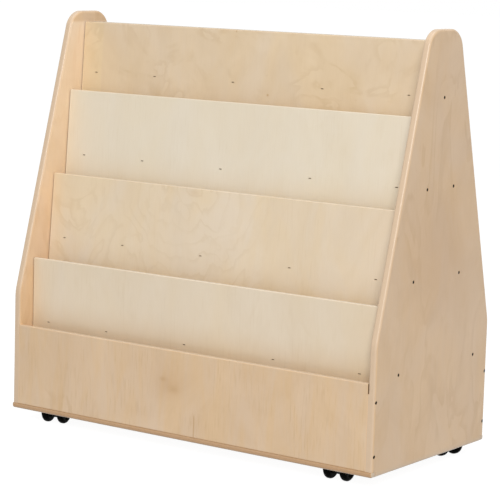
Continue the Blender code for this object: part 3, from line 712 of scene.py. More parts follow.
side_finishes = {
    side: birch_ply(f"side_ply_{side}", SIDE_VENEER, seed, (sign * HALF_WIDTH, 0.0, 0.0),
                    (0.0, 0.0, sign * math.pi / 2), SIDE_THICKNESS, SIDE_PLIES)
    for side, sign, seed in (("right", 1.0, 2.3), ("left", -1.0, 41.7))}
base_finishes = {
    side: birch_ply(f"base_ply_{side}", veneer, seed, (0.0, sign * HALF_DEPTH, 0.0), facing,
                    BASE_THICKNESS, BASE_PLIES)
    for side, veneer, seed, sign, facing in (
        ("front", FRONT_BASE_VENEER, 12.9, -1.0, FRONT), ("rear", REAR_BASE_VENEER, 77.4, 1.0, REAR))}
print("finishes for sides and base panels:", len(side_finishes) + len(base_finishes))

# %% [markdown]
# ## The tiers' veneer
# The tier panels run from cream to tan. Two of them are almost plain, and the other two have a lively
# figure. The knots are put where the real boards have theirs. Down in the three lower pockets, behind the
# board in front, the panels get painted shade: their colour is made a little darker and warmer there.

# %% Tier panels' finishes
TIER_PLIES = 7
TIER_VENEERS = (
    Veneer(linear(227, 212, 188), figure=0.15, streaks=0.20, warmth=0.5, blotch=0.35, layers=0.15),
    Veneer(linear(226, 209, 182), flame=(7.0, 6.0), swirl=1.5, rings=4.6, figure=0.34, spread=0.11,
           calm=(0.04, 0.17), streaks=0.20, warmth=1.2, blotch=0.5, layers=0.15),
    Veneer(linear(229, 218, 197), figure=0.10, streaks=0.20, warmth=0.4, blotch=0.30, layers=0.15),
    # tier 4's left end gets painted bounce light from the left side
    Veneer(linear(221, 200, 169), flame=(10.0, 12.0), figure=0.42, streaks=0.15, warmth=1.0, blotch=0.7,
           strip=-0.386, layers=0.15, edge=(0.60, 0.65, 0.75)),
)
TIER_KNOTS = {
    ("front", 2): (
        Knot(-0.059, 0.299, 0.026, 0.014, 0.20, 0.26), Knot(-0.075, 0.300, 0.17, 0.15, 1.40, 0.0)),
    ("front", 4): (
        Knot(0.055, 0.150, 0.0045, 0.0045, 0.05, 0.9), Knot(-0.033, 0.276, 0.0035, 0.0035, 0.05, 0.8),
        Knot(0.048, 0.155, 0.030, 0.020, 0.10, 0.12), Knot(0.193, 0.182, 0.060, 0.024, 0.45, 0.0),
        Knot(-0.300, 0.230, 0.240, 0.240, 0.0, 0.09)),
    ("rear", 3): (Knot(0.210, 0.170, 0.0040, 0.0040, 0.05, 0.8),),
}
# painted shade in each tier's pocket: the tint it is multiplied by, and how far below and above the lip it
# fades
POCKET_SHADE_TINTS = ((0.93, 0.87, 0.79), (0.96, 0.955, 0.95), (0.99, 0.965, 0.93), (1.0, 1.0, 1.0))
POCKET_SHADE_BELOW_LIP, POCKET_SHADE_ABOVE_LIP = 0.013, 0.065

tier_finishes = {}
for tier, veneer, tint in zip(tiers, TIER_VENEERS, POCKET_SHADE_TINTS):
    # painted shade down in the pocket, fading out a little above the lip
    pocket = (tier.lip - POCKET_SHADE_BELOW_LIP, tier.lip + POCKET_SHADE_ABOVE_LIP, tint)
    for side, facing, sign in (("front", 0.0, 1.0), ("rear", math.pi, -1.0)):
        knots = TIER_KNOTS.get((side, tier.number), ())
        tier_finishes[side, tier.number] = birch_ply(
            f"tier_ply_{side}_{tier.number}",
            replace(veneer, knots=knots, half_length=tier.half_length, pocket=pocket),
            90.0 + 7.3 * tier.number + 40.0 * sign, (0.0, sign * tier.foot_y, tier.foot_z),
            (-tier.lean, 0.0, facing), TIER_THICKNESS, TIER_PLIES)
print("finishes for tier panels:", len(tier_finishes))

# %% [markdown]
# ## Moulded plastic and metal
# The casters are black nylon with a fine moulded skin, which is a little glossier where it rubs. Screws
# and staples are plain dark steel, and the hidden plates are zinc plated. None of these is one flat
# colour: a slow noise varies the gloss, a fast one gives the skin, and both are worked out in space.

# %% Plastic and metal finishes
SKIN_PER_METRE, WEAR_PER_METRE, WEAR_SHIFT = 2600.0, 70.0, 4.0
SKIN_GLOSS, WEAR_GLOSS, WORN_METAL_GLOSS = 0.06, 0.22, 0.20
WORN_PLASTIC, DULL_METAL, BRIGHT_METAL = 1.9, 0.82, 1.12
PLASTIC_BUMP, METAL_BUMP = (0.16, 0.0001), (0.08, 0.0001)
SPECKLE_ROUGHNESS = 0.6


def speckle(finish, per_metre, seed, detail):
    """Noise with so many changes in a metre, the same in all directions."""
    point = finish.node("ShaderNodeVectorMath", {"operation": "MULTIPLY_ADD"}, {
        0: finish.object_point(), 1: (per_metre,) * 3, 2: (seed,) * 3})
    return finish.noise(point, detail, SPECKLE_ROUGHNESS)


def nylon(name, tone, gloss, seed, ior=1.07):
    """Moulded plastic with a fine skin and worn areas."""
    plastic = Finish(name, IOR=ior)
    skin = speckle(plastic, SKIN_PER_METRE, seed, 2.0)
    wear = speckle(plastic, WEAR_PER_METRE, seed + WEAR_SHIFT, 3.0)
    plastic.set("Base Color", plastic.mix(wear, (*tone, 1.0), (*scaled(tone, WORN_PLASTIC), 1.0)))
    worn_gloss = gloss + (wear - NOISE_MEAN) * WEAR_GLOSS
    plastic.set("Roughness", worn_gloss + (skin - NOISE_MEAN) * SKIN_GLOSS)
    plastic.bump(skin, *PLASTIC_BUMP)
    return plastic.material


def steel(name, tone, gloss, seed, per_metre):
    """Metal whose tone and gloss vary a little."""
    metal = Finish(name, Metallic=1.0)
    worn = speckle(metal, per_metre, seed, 3.0)
    dull, bright = scaled(tone, DULL_METAL), scaled(tone, BRIGHT_METAL)
    metal.set("Base Color", metal.mix(worn, (*dull, 1.0), (*bright, 1.0)))
    metal.set("Roughness", gloss + (worn - NOISE_MEAN) * WORN_METAL_GLOSS)
    metal.bump(worn, *METAL_BUMP)
    return metal.material


wheel_finish = nylon("wheel_nylon", (0.0024, 0.0022, 0.0021), 0.40, 3.0)
hood_finish = nylon("hood_nylon", (0.0026, 0.0024, 0.0023), 0.46, 9.0)
washer_finish = nylon("washer_nylon", (0.70, 0.69, 0.65), 0.45, 15.0, 1.53)
zinc_finish = steel("zinc_plated", (0.62, 0.62, 0.60), 0.36, 2.0, 90.0)
axle_finish = steel("turned_steel", (0.55, 0.55, 0.55), 0.30, 6.0, 900.0)
screw_finish = steel("dark_screw", (0.008, 0.005, 0.003), 0.50, 8.0, 700.0)
staple_finish = steel("staple_wire", (0.20, 0.13, 0.07), 0.42, 11.0, 800.0)
print("plastic and metal finishes are ready")

# %% [markdown]
# ## Working by hand, in code
# Every new piece is made the way it would be made at the desk: add a primitive at its size and place,
# pick some of its edges or faces, and bevel, cut or draw them out. Without a mouse, edges are picked by a
# question about their place, so a small helper asks it of each one.

# %% Start a piece and round its edges
NEAR = 1e-5
SHARP = 1.0


def choose(*pieces):
    """Select these pieces and no others, and work on the first one."""
    bpy.ops.object.select_all(action="DESELECT")
    for piece in pieces:
        piece.select_set(True)
    bpy.context.view_layer.objects.active = pieces[0]


@contextlib.contextmanager
def editing(piece):
    """Work on one piece in edit mode, with all of it selected at first."""
    choose(piece)
    bpy.ops.object.mode_set(mode="EDIT")
    bpy.ops.mesh.select_all(action="SELECT")
    yield
    bpy.ops.object.mode_set(mode="OBJECT")


def start(name, add, **settings):
    """Add one primitive as a new piece, with its place and size in its mesh."""
    bpy.ops.object.select_all(action="DESELECT")
    add(**settings)
    bpy.ops.object.transform_apply(location=True, rotation=True, scale=True)
    piece = bpy.context.object
    piece.name = piece.data.name = name
    return piece


def board(name, low, high):
    """A block between two corners."""
    low, high = Vector(low), Vector(high)
    return start(name, bpy.ops.mesh.primitive_cube_add, size=1.0, location=(low + high) / 2, scale=high - low)


def pick(piece, kind, wanted):
    """In edit mode, select the edges or faces that wanted says yes to, and only those."""
    bpy.ops.mesh.select_mode(type=kind)
    bpy.ops.mesh.select_all(action="DESELECT")
    shape = bmesh.from_edit_mesh(piece.data)
    found = [part for part in (shape.faces if kind == "FACE" else shape.edges) if wanted(part)]
    for part in found:
        part.select_set(True)
    shape.select_flush_mode()
    bmesh.update_edit_mesh(piece.data)
    return len(found)


def round_edges(piece, wanted, width, segments):
    """Bevel the edges that wanted says yes to, and count them."""
    with editing(piece):
        count = pick(piece, "EDGE", wanted)
        bpy.ops.mesh.bevel(offset=width, segments=segments, affect="EDGES")
    return count


def is_sharp(edge):
    """Asks whether an edge is still a sharp corner."""
    return edge.calc_face_angle(0.0) > SHARP


print("tools to start a piece are ready")

# %% [markdown]
# ## Cutting and copying
# A hole is cut by a tool of its shape, as a drill or a router does it. What repeats is modelled once and
# copied, and each copy has its own mesh. A copy's place goes into its mesh too, so that every finished
# piece sits at the origin. A mirrored copy is inside out at first, so its faces are turned round.

# %% Cut, copy and join
HALF_TURN = Matrix.Rotation(math.pi, 4, "Z")
MIRROR_X = Matrix.Diagonal((-1.0, 1.0, 1.0, 1.0))
MIRROR_Y = Matrix.Diagonal((1.0, -1.0, 1.0, 1.0))


def combine(piece, tool, operation="DIFFERENCE"):
    """Cut a tool out of a piece, or join it on, and throw the tool away."""
    modifier = piece.modifiers.new("combine", "BOOLEAN")
    modifier.operation = operation
    modifier.object = tool
    bpy.context.view_layer.objects.active = piece
    bpy.ops.object.modifier_apply(modifier=modifier.name)
    bpy.data.objects.remove(tool)


def settle(piece, move):
    """Move and turn a piece by a matrix, and put its new place into its mesh."""
    choose(piece)
    piece.matrix_world = move @ piece.matrix_world
    bpy.ops.object.transform_apply(location=True, rotation=True, scale=True)


def copied(piece, name, move):
    """A copy with its own mesh, moved and turned by a matrix."""
    choose(piece)
    bpy.ops.object.duplicate(linked=False)
    twin = bpy.context.object
    twin.name = twin.data.name = name
    settle(twin, move)
    if move.determinant() < 0.0:
        with editing(twin):
            bpy.ops.mesh.normals_make_consistent(inside=False)
    return twin


def joined(name, pieces):
    """Several pieces as one object."""
    choose(*pieces)
    bpy.ops.object.join()
    whole = bpy.context.object
    whole.name = whole.data.name = name
    return whole


def copies(piece, name, moves):
    """Copies of a model at several places, as one object. The model stays."""
    return joined(name, [copied(piece, f"{name}_{n}", move) for n, move in enumerate(moves)])


print("tools to cut and copy are ready")

# %% [markdown]
# ## Handing a piece over
# At the end a piece is shaded smooth up to an angle, and its large flat faces are made to rule the
# shading, so that they stay flat beside a rounded edge. Then it gets its finish, it hangs on an empty for
# the body it moves with, and the solids that it stands for are hidden.

# %% Hand over
SMOOTH_ANGLE = math.radians(32.0)


def hand_over(piece, material, body, slot, *stands_for):
    """Shade a piece, give it its finish, hang it on its body's empty, and hide the solids it stands for."""
    choose(piece)
    bpy.ops.object.shade_smooth_by_angle(angle=SMOOTH_ANGLE)
    piece.modifiers.new("flat_faces", "WEIGHTED_NORMAL").keep_sharp = True
    bpy.ops.object.modifier_apply(modifier="flat_faces")
    piece.data.materials.clear()
    piece.data.materials.append(material)
    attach(piece, body)
    if stands_for:
        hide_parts(*stands_for)
    return len(piece.data.polygons)


print("pieces can be handed over")

# %% [markdown]
# ## Turned pieces
# Screws, wheels and axles are round. A lathe follows a profile, and so does this helper: it starts from
# a disc, draws it out along Z and resizes it at each point of the profile. A piece with a bore starts
# from a bare ring instead, and the last ring is bridged to the first.

# %% A lathe
def turned(name, profile, sides, bored=False):
    """Turn a profile of (radius, height) pairs about Z."""
    (radius, height), *rest = profile
    piece = start(name, bpy.ops.mesh.primitive_circle_add, vertices=sides, radius=radius,
                  location=(0.0, 0.0, height), fill_type="NOTHING" if bored else "NGON")
    with editing(piece):
        for next_radius, next_height in rest:
            step = {"value": (0.0, 0.0, next_height - height)}
            bpy.ops.mesh.extrude_region_move(TRANSFORM_OT_translate=step)
            share = next_radius / radius
            bpy.ops.transform.resize(value=(share, share, 1.0), center_override=(0.0, 0.0, next_height))
            radius, height = next_radius, next_height
        if bored:
            pick(piece, "EDGE", lambda edge: edge.is_boundary)
            bpy.ops.mesh.bridge_edge_loops()
        bpy.ops.mesh.select_all(action="SELECT")
        bpy.ops.mesh.normals_make_consistent(inside=False)
    return piece


def rounded_corner(radius, height, size, first, last, steps):
    """Points of a rounded corner, from one angle in degrees to another."""
    angles = [math.radians(first + (last - first) * step / steps) for step in range(steps + 1)]
    return [(radius + size * math.cos(a), height + size * math.sin(a)) for a in angles]


print("the lathe is ready")

# %% [markdown]
# ## The side panels
# Each side is one A-shaped board of 16 mm plywood. On the real cart it is sawn out, its outline is run
# past a round-over cutter, and its screw holes are sunk. Here it starts as a block. Two slanting cuts
# give the A, its four corners are rounded, and the outline's edges are bevelled to a 5 mm radius. On
# the inner side the router stops just below the base panel's lip, so the corner is made square again
# below that.

# %% The A shape
KINK_HEIGHT = 0.281
TOP_HALF_WIDTH = 0.056
KINK_TANGENT = 0.0105
TOP_TANGENT = 0.0322

side_board = board("right_side_board", (INNER_X, -HALF_DEPTH, BODY_BOTTOM),
                   (HALF_WIDTH, HALF_DEPTH, OVERALL_HEIGHT))
with editing(side_board):
    for end in (-1.0, 1.0):
        outwards = (0.0, end * (OVERALL_HEIGHT - KINK_HEIGHT), HALF_DEPTH - TOP_HALF_WIDTH)
        bpy.ops.mesh.select_all(action="SELECT")
        bpy.ops.mesh.bisect(plane_co=(0.0, end * HALF_DEPTH, KINK_HEIGHT), plane_no=outwards,
                            use_fill=True, clear_outer=True)


def length_along_x(edge):
    return abs(edge.verts[0].co.x - edge.verts[1].co.x)


def lies_across_at(height):
    """Asks whether an edge runs along X at a height."""
    return lambda edge: length_along_x(edge) > NEAR and all(abs(v.co.z - height) < NEAR for v in edge.verts)


print("kinks:", round_edges(side_board, lies_across_at(KINK_HEIGHT), KINK_TANGENT, 8))
print("top corners:", round_edges(side_board, lies_across_at(OVERALL_HEIGHT), TOP_TANGENT, 20))

# %% The rounded outline
EDGE_ROUND = 0.005
SQUARE_SIZE = 1.4 * EDGE_ROUND
ROUND_BELOW_LIP = 0.020


def is_rounded_over(edge):
    """Asks whether an edge is on the outline of a face and not all along the bottom."""
    on_a_face = any(all(abs(v.co.x - face_x) < NEAR for v in edge.verts) for face_x in (INNER_X, HALF_WIDTH))
    return on_a_face and max(v.co.z for v in edge.verts) > BODY_BOTTOM + NEAR


print("outline edges:", round_edges(side_board, is_rounded_over, EDGE_ROUND, 5))
for end in (-1.0, 1.0):
    near_y, far_y = sorted((end * HALF_DEPTH, end * (HALF_DEPTH - SQUARE_SIZE)))
    square = board("square", (INNER_X, near_y, BODY_BOTTOM),
                   (INNER_X + SQUARE_SIZE, far_y, BASE_TOP - ROUND_BELOW_LIP))
    combine(side_board, square, "UNION")

# %% [markdown]
# ## The sides' groove and holes
# The deck sits in a groove in each side, and eleven screws go through each side: two into the end of
# each base panel, one into the end of each ledge and one into the top stretcher. Their heads are sunk,
# so a drill with a tapered shoulder cuts the holes. The left side is the right one's mirror image.

# %% Groove and holes
DADO_DEPTH = 0.005
SCREW_SUNK = 0.0004
SCREW_HEAD_RADIUS = 0.0034
SCREW_HEAD_HEIGHT = 0.0024
SCREW_SHANK_RADIUS = 0.0015
DRILL_ABOVE, DRILL_DEPTH = 0.01, 0.03
LEDGE_DEPTH = 0.042
BASE_SCREW_HEIGHTS = (BODY_BOTTOM + 0.030, BASE_TOP - 0.0355)
FRONT_SCREW_SHARES, REAR_SCREW_SHARES = (0.78, 0.56, 0.28), (0.18, 0.66, 0.33)


def side_screw_spots():
    """Where the screws enter a side panel, as (y, z): base panels, ledges and the top stretcher."""
    base_y = HALF_DEPTH - BASE_THICKNESS / 2
    spots = [(y, z) for y in (-base_y, base_y) for z in BASE_SCREW_HEIGHTS]
    for tier, front_share, rear_share in zip(tiers, FRONT_SCREW_SHARES, REAR_SCREW_SHARES):
        rise = (tier.ledge_z - tier.foot_z) * math.tan(tier.lean)
        edge = tier.foot_y + rise + TIER_THICKNESS / math.cos(tier.lean) + FIT
        spots += [(edge + front_share * LEDGE_DEPTH, tier.ledge_z),
                  (-edge - rear_share * LEDGE_DEPTH, tier.ledge_z)]
    return spots + [(0.0, LEDGE_MIDDLES[-1])]


def screw_frames():
    """The screws' frames on the right side: they point inwards, with their heads' tops at the origin."""
    inwards = Matrix.Rotation(math.pi / 2, 4, "Y")
    return [Matrix.Translation((HALF_WIDTH - SCREW_SUNK, y, z)) @ inwards for y, z in side_screw_spots()]


combine(side_board, board("groove", (INNER_X - DADO_DEPTH, -DECK_HIGH.y - FIT, DECK_LOW.z - FIT),
                          (INNER_X + DADO_DEPTH + FIT, DECK_HIGH.y + FIT, DECK_HIGH.z + FIT)))
head, shank = SCREW_HEAD_RADIUS + FIT / 2, SCREW_SHANK_RADIUS + FIT
drill = turned("drill", [(head, DRILL_ABOVE), (head, -FIT), (shank, -SCREW_HEAD_HEIGHT),
                         (shank, -DRILL_DEPTH)], 20)
combine(side_board, copies(drill, "drills", screw_frames()))
bpy.data.objects.remove(drill)
left_board = copied(side_board, "left_side_board", MIRROR_X)
print("side panels:", hand_over(side_board, side_finishes["right"], "cart", "side_ply", "right_side_panel"),
      hand_over(left_board, side_finishes["left"], "cart", "side_ply", "left_side_panel"), "faces")

# %% [markdown]
# ## The base panels
# The base panels close the cart below the lowest pocket. Their ends butt against the sides, so only the
# upper edges are eased with sandpaper. The rear one is the front one turned round.

# %% Base panels
EASED = 0.0018
LONG_EDGE = 0.1


def runs_along_x(edge):
    return length_along_x(edge) > LONG_EDGE


base_board = board("front_base_board", (-INNER_X, -HALF_DEPTH, BODY_BOTTOM),
                   (INNER_X, BASE_THICKNESS - HALF_DEPTH, BASE_TOP))
round_edges(base_board, lambda edge: runs_along_x(edge) and edge.verts[0].co.z > BODY_BOTTOM + NEAR, EASED, 4)
rear_base = copied(base_board, "rear_base_board", HALF_TURN)
print("base panels:", hand_over(base_board, base_finishes["front"], "cart", "base_ply", "front_base_panel"),
      hand_over(rear_base, base_finishes["rear"], "cart", "base_ply", "rear_base_panel"), "faces")

# %% [markdown]
# ## The trim
# Under the boards runs a thin trim of plywood. At the front and rear it shows its layers and has rounded
# corners. Under the sides it is flush with them and rounded at the bottom only, and it takes their finish,
# so that the grain runs on. A thin dark line on the long rails shows where the base panels sit on them.

# %% Trim rails
TRIM_ROUND = 0.0016
TRIM_FOOT_ROUND = 0.0050
TRIM_CORNER = 0.0045
END_TRIM_ROUND = 0.0045
trim_low, trim_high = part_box("front_trim")
end_low, end_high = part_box("right_trim")


def is_front_corner(edge):
    """Asks whether an edge of the front rail is upright and at its front."""
    upright = abs(edge.verts[0].co.z - edge.verts[1].co.z) > NEAR
    return upright and edge.verts[0].co.y < trim_low.y + NEAR


def is_outer_foot(edge):
    """Asks whether an edge is at the rail's bottom and not along its back."""
    low = all(v.co.z < trim_low.z + NEAR for v in edge.verts)
    return low and any(v.co.y < trim_high.y - NEAR for v in edge.verts)


def is_end_foot(edge):
    """Asks whether an edge of the right rail is its lower outer one."""
    return all(v.co.z < end_low.z + NEAR and v.co.x > HALF_WIDTH - NEAR for v in edge.verts)


long_rail = board("front_trim_rail", trim_low, (HALF_WIDTH, trim_high.y, trim_high.z))
round_edges(long_rail, is_front_corner, TRIM_CORNER, 6)
round_edges(long_rail, is_outer_foot, TRIM_FOOT_ROUND, 6)
round_edges(long_rail, is_sharp, TRIM_ROUND, 3)
end_rail = board("right_trim_rail", end_low, (HALF_WIDTH, end_high.y, BODY_BOTTOM))
round_edges(end_rail, is_end_foot, END_TRIM_ROUND, 6)
rails = {
    "front": long_rail, "rear": copied(long_rail, "rear_trim_rail", MIRROR_Y),
    "right": end_rail, "left": copied(end_rail, "left_trim_rail", HALF_TURN),
}
print("trim rails:", len(rails))

# %% Trim's finishes
GRAIN_ALONG_X = (math.pi / 2, 0.0, math.pi / 2)
TRIM_PLIES = 3
TRIM_VENEER = Veneer(linear(196, 160, 120), figure=0.1, layers=0.9, joint=0.20,
                     right_end=(HALF_WIDTH - 0.0012, END_TRIM_TONE))
trim_finishes = dict(side_finishes)
for side, seed in (("front", 201.0), ("rear", 214.0)):
    trim_finishes[side] = birch_ply(f"trim_ply_{side}", TRIM_VENEER, seed, (0.0, 0.0, trim_low.z),
                                    GRAIN_ALONG_X, trim_high.z - trim_low.z, TRIM_PLIES)
for side, rail in rails.items():
    print(side, "rail:", hand_over(rail, trim_finishes[side], "cart", "trim_ply", f"{side}_trim"), "faces")

# %% [markdown]
# ## The tier panels
# Four thin panels a side lean back against ledges, and books stand in the pockets between them. Each is
# a plain board with sanded edges, made upright at its foot and then leant back. Staples hold it to its
# ledge: their slots are cut first, so that the crowns sit just below the surface, as a staple gun leaves
# them. The rear panels are the front ones turned round.

# %% Tier panels
TIER_EASED = 0.0008
TOP_ROUND = 0.0018
STAPLE_CROWN = 0.0058
STAPLE_WIRE = 0.0013
STAPLE_LENGTH = 0.019
STAPLE_SHARES = (-0.451, -0.269, -0.035, 0.217, 0.448)
STAPLE_ROW_SHIFTS = (0.0004, -0.0024, 0.0060, -0.0040)
SLOT_PAST_FACE = 0.005


def staple_places(tier):
    """Where a panel's staples go in, in its own frame."""
    height = (tier.ledge_z - tier.foot_z + STAPLE_LENGTH * math.sin(tier.lean)) / math.cos(tier.lean)
    shift = STAPLE_ROW_SHIFTS[tier.number - 1]
    return [Matrix.Translation((2 * share * tier.half_length + shift, 0.0, height))
            for share in STAPLE_SHARES]


slot_x, slot_z = STAPLE_CROWN / 2 + FIT, STAPLE_WIRE / 2 + FIT
slot = board("slot", (-slot_x, -SLOT_PAST_FACE, -slot_z), (slot_x, TIER_THICKNESS + SLOT_PAST_FACE, slot_z))
for tier in tiers:
    panel = board(f"front_tier_board_{tier.number}", (-tier.half_length, 0.0, 0.0),
                  (tier.half_length, TIER_THICKNESS, tier.length))
    round_edges(panel, lambda edge: runs_along_x(edge) and edge.verts[0].co.z > tier.length / 2, TOP_ROUND, 4)
    round_edges(panel, is_sharp, TIER_EASED, 2)
    combine(panel, copies(slot, "slots", staple_places(tier)))
    settle(panel, tier.frame())
    rear = copied(panel, f"rear_tier_board_{tier.number}", HALF_TURN)
    for side, made in (("front", panel), ("rear", rear)):
        finish = tier_finishes[side, tier.number]
        hand_over(made, finish, "cart", "tier_ply", f"{side}_tier_panel_{tier.number}")
bpy.data.objects.remove(slot)
print("tier panels:", 2 * len(tiers))

# %% [markdown]
# ## Staples and screws
# A staple is a bent wire: a flat crown and two legs. It starts as the crown, which is cut near both ends,
# and the legs are drawn out of the end faces. A screw is turned on the lathe, and a cross is cut into
# its head. Each is modelled once and copied to its places, and a row makes one piece.

# %% Staples
STAPLE_SUNK = 0.0004
WIRE_ROUND = 0.18 * STAPLE_WIRE
LEG_X = STAPLE_CROWN / 2 - STAPLE_WIRE
FACING = 0.9


def is_leg_end(face):
    """Asks whether a face is on the crown's back, near one of its ends."""
    return face.normal.y > FACING and abs(face.calc_center_median().x) > LEG_X


staple = board("staple", (-STAPLE_CROWN / 2, STAPLE_SUNK, -STAPLE_WIRE / 2),
               (STAPLE_CROWN / 2, STAPLE_SUNK + STAPLE_WIRE, STAPLE_WIRE / 2))
leg = {"value": (0.0, STAPLE_LENGTH - STAPLE_WIRE, 0.0)}
with editing(staple):
    for x in (-LEG_X, LEG_X):
        bpy.ops.mesh.select_all(action="SELECT")
        bpy.ops.mesh.bisect(plane_co=(x, 0.0, 0.0), plane_no=(1.0, 0.0, 0.0))
    pick(staple, "FACE", is_leg_end)
    bpy.ops.mesh.extrude_region_move(TRANSFORM_OT_translate=leg)
round_edges(staple, is_sharp, WIRE_ROUND, 2)
for tier in tiers:
    places = [tier.frame() @ place for place in staple_places(tier)]
    front_row = copies(staple, f"front_staples_{tier.number}", places)
    rear_row = copied(front_row, f"rear_staples_{tier.number}", HALF_TURN)
    for made in (front_row, rear_row):
        hand_over(made, staple_finish, "cart", "staple_steel")
bpy.data.objects.remove(staple)
print("staples:", 2 * len(tiers) * len(STAPLE_SHARES))

# %% Side screws
SCREW_LENGTH = 0.036
SCREW_POINT = 0.005
RIM_HEIGHT = 0.0003
RIM_SHARE, POINT_SHARE = 0.86, 0.2
CROSS_LENGTH = 0.0026
CROSS_WIDTH = 0.0006
CROSS_DEPTH = 0.0011
SCREW_TURN = 0.7
rim, neck = SCREW_HEAD_RADIUS, SCREW_SHANK_RADIUS
screw = turned("screw", [(RIM_SHARE * rim, 0.0), (rim, -RIM_HEIGHT), (neck, -SCREW_HEAD_HEIGHT),
                         (neck, SCREW_POINT - SCREW_LENGTH), (POINT_SHARE * neck, -SCREW_LENGTH)], 24)
for x, y in ((CROSS_LENGTH / 2, CROSS_WIDTH / 2), (CROSS_WIDTH / 2, CROSS_LENGTH / 2)):
    combine(screw, board("cross", (-x, -y, -CROSS_DEPTH), (x, y, CROSS_DEPTH)))
right_screws = copies(screw, "right_screws", [
    place @ Matrix.Rotation(SCREW_TURN * n, 4, "Z") for n, place in enumerate(screw_frames())])
bpy.data.objects.remove(screw)
left_screws = copied(right_screws, "left_screws", MIRROR_X)
for made in (right_screws, left_screws):
    print(made.name, hand_over(made, screw_finish, "cart", "screw_steel"), "faces")

# %% [markdown]
# ## The casters
# Each caster is a moulded hood that turns on a pin, with a wheel on either side of its web and one axle
# through both. All is made once in the caster's own frame, with its pin on the Z axis and its axle along
# X. A wheel is turned on the lathe: rounded tread, dished face, and six low ribs, which are drawn out of
# the dish.

# %% Wheel
SOLID_RADIUS, SOLID_SIDES = 0.025, 20  # the solid wheel stands on one of its flat sides
WHEEL_RADIUS = SOLID_RADIUS * math.cos(math.pi / SOLID_SIDES)
WHEEL_HALF = 0.00775
WHEEL_ROUND = 0.0065
WHEEL_SIDES = 48
RIBS = 6
RIB_HEIGHT = 0.0012
BORE_RADIUS = 0.0034
SEAT_RADIUS, SEAT_DEPTH = 0.0054, 0.0020
BOSS_INNER, BOSS_OUTER, BOSS_DEPTH = 0.0058, 0.0082, 0.0003
DISH_INNER, DISH_OUTER, DISH_DEPTH = 0.0092, 0.0152, 0.0019
SHOULDER_RADIUS, SHOULDER_DEPTH = 0.0166, 0.0004
arc_radius, arc_height = WHEEL_RADIUS - WHEEL_ROUND, WHEEL_HALF - WHEEL_ROUND
profile = [(radius, WHEEL_HALF - depth) for radius, depth in (
    (BORE_RADIUS, SEAT_DEPTH), (SEAT_RADIUS, SEAT_DEPTH), (BOSS_INNER, BOSS_DEPTH), (BOSS_OUTER, BOSS_DEPTH),
    (DISH_INNER, DISH_DEPTH), (DISH_OUTER, DISH_DEPTH), (SHOULDER_RADIUS, SHOULDER_DEPTH))]
profile += rounded_corner(arc_radius, arc_height, WHEEL_ROUND, 90.0, 0.0, 7)
profile += rounded_corner(arc_radius, -arc_height, WHEEL_ROUND, 0.0, -90.0, 7)
profile += [(BORE_RADIUS, -WHEEL_HALF)]
wheel = turned("wheel", profile, WHEEL_SIDES, bored=True)


def is_rib(face):
    """Asks whether a face of the dish is one of those that become ribs."""
    middle = face.calc_center_median()
    radius = math.hypot(middle.x, middle.y)
    sector = math.floor((math.atan2(middle.y, middle.x) / math.tau) * WHEEL_SIDES + NEAR)
    return face.normal.z > FACING and DISH_INNER < radius < DISH_OUTER and sector % (WHEEL_SIDES // RIBS) == 0


with editing(wheel):
    print("ribs:", pick(wheel, "FACE", is_rib))
    bpy.ops.mesh.extrude_region_move(TRANSFORM_OT_translate={"value": (0.0, 0.0, RIB_HEIGHT)})

# %% [markdown]
# ## Hood and axle
# The hood is one moulding: a half drum over the wheels, a hub and a neck in its middle, and a boss for the
# pin. Joining plain shapes and then cutting the room for the wheels and the bores is how its mould would
# be drawn. The axle is turned, with a flat head at each end that keeps the wheels on.

# %% Hood
AXLE_RADIUS = 0.003
PIN_RADIUS, PIN_BORE = 0.0045, 0.1
TRAIL = 0.018
WHEEL_SPACING = 0.0365
HOOD_RADIUS = 0.0285
HOOD_WIDTH = 0.042
HOOD_SKIRT = 0.014
HOOD_ROUND = 0.0022
HOOD_RISE = 0.002
WELL_RADIUS = 0.0262
WHEELS_PLAY = 0.0012
WEB_WIDTH = WHEEL_SPACING - 2 * WHEEL_HALF - WHEELS_PLAY
HUB_RADIUS = 0.0135
BOSS_RADIUS = 0.013
NECK_BACK, NECK_BELOW_AXLE, NECK_BELOW_TOP = 0.0082, 0.004, 0.0023
axle_height = WHEEL_RADIUS
hood_top = axle_height + HOOD_RADIUS + HOOD_RISE
axle_place = (0.0, -TRAIL, axle_height)
LIE_ACROSS, STAND = (0.0, math.pi / 2, 0.0), (0.0, 0.0, 0.0)


def drum(name, radius, width, middle, turn=LIE_ACROSS, sides=64):
    return start(name, bpy.ops.mesh.primitive_cylinder_add, vertices=sides, radius=radius, depth=width,
                 location=middle, rotation=turn)


hood = drum("hood", HOOD_RADIUS, HOOD_WIDTH, axle_place)
round_edges(hood, lambda edge: length_along_x(edge) < NEAR, HOOD_ROUND, 4)
with editing(hood):
    bpy.ops.mesh.bisect(plane_co=(0.0, 0.0, axle_height + HOOD_SKIRT), plane_no=(0.0, 0.0, -1.0),
                        use_fill=True, clear_outer=True)
combine(hood, drum("hub", HUB_RADIUS, WEB_WIDTH - FIT, axle_place), "UNION")
half_web = WEB_WIDTH / 2 - FIT
combine(hood, board("neck", (-half_web, -TRAIL, axle_height - NECK_BELOW_AXLE),
                    (half_web, NECK_BACK, hood_top - NECK_BELOW_TOP)), "UNION")
boss_low = axle_height + HUB_RADIUS
boss_middle = (0.0, 0.0, (hood_top + boss_low) / 2)
combine(hood, drum("boss", BOSS_RADIUS, hood_top - boss_low, boss_middle, STAND), "UNION")
for end in (-1.0, 1.0):
    well_middle = (end * (WEB_WIDTH + HOOD_WIDTH) / 2, -TRAIL, axle_height)
    combine(hood, drum("well", WELL_RADIUS, HOOD_WIDTH, well_middle))
combine(hood, drum("axle_bore", AXLE_RADIUS + FIT, 2 * HOOD_WIDTH, axle_place, sides=24))
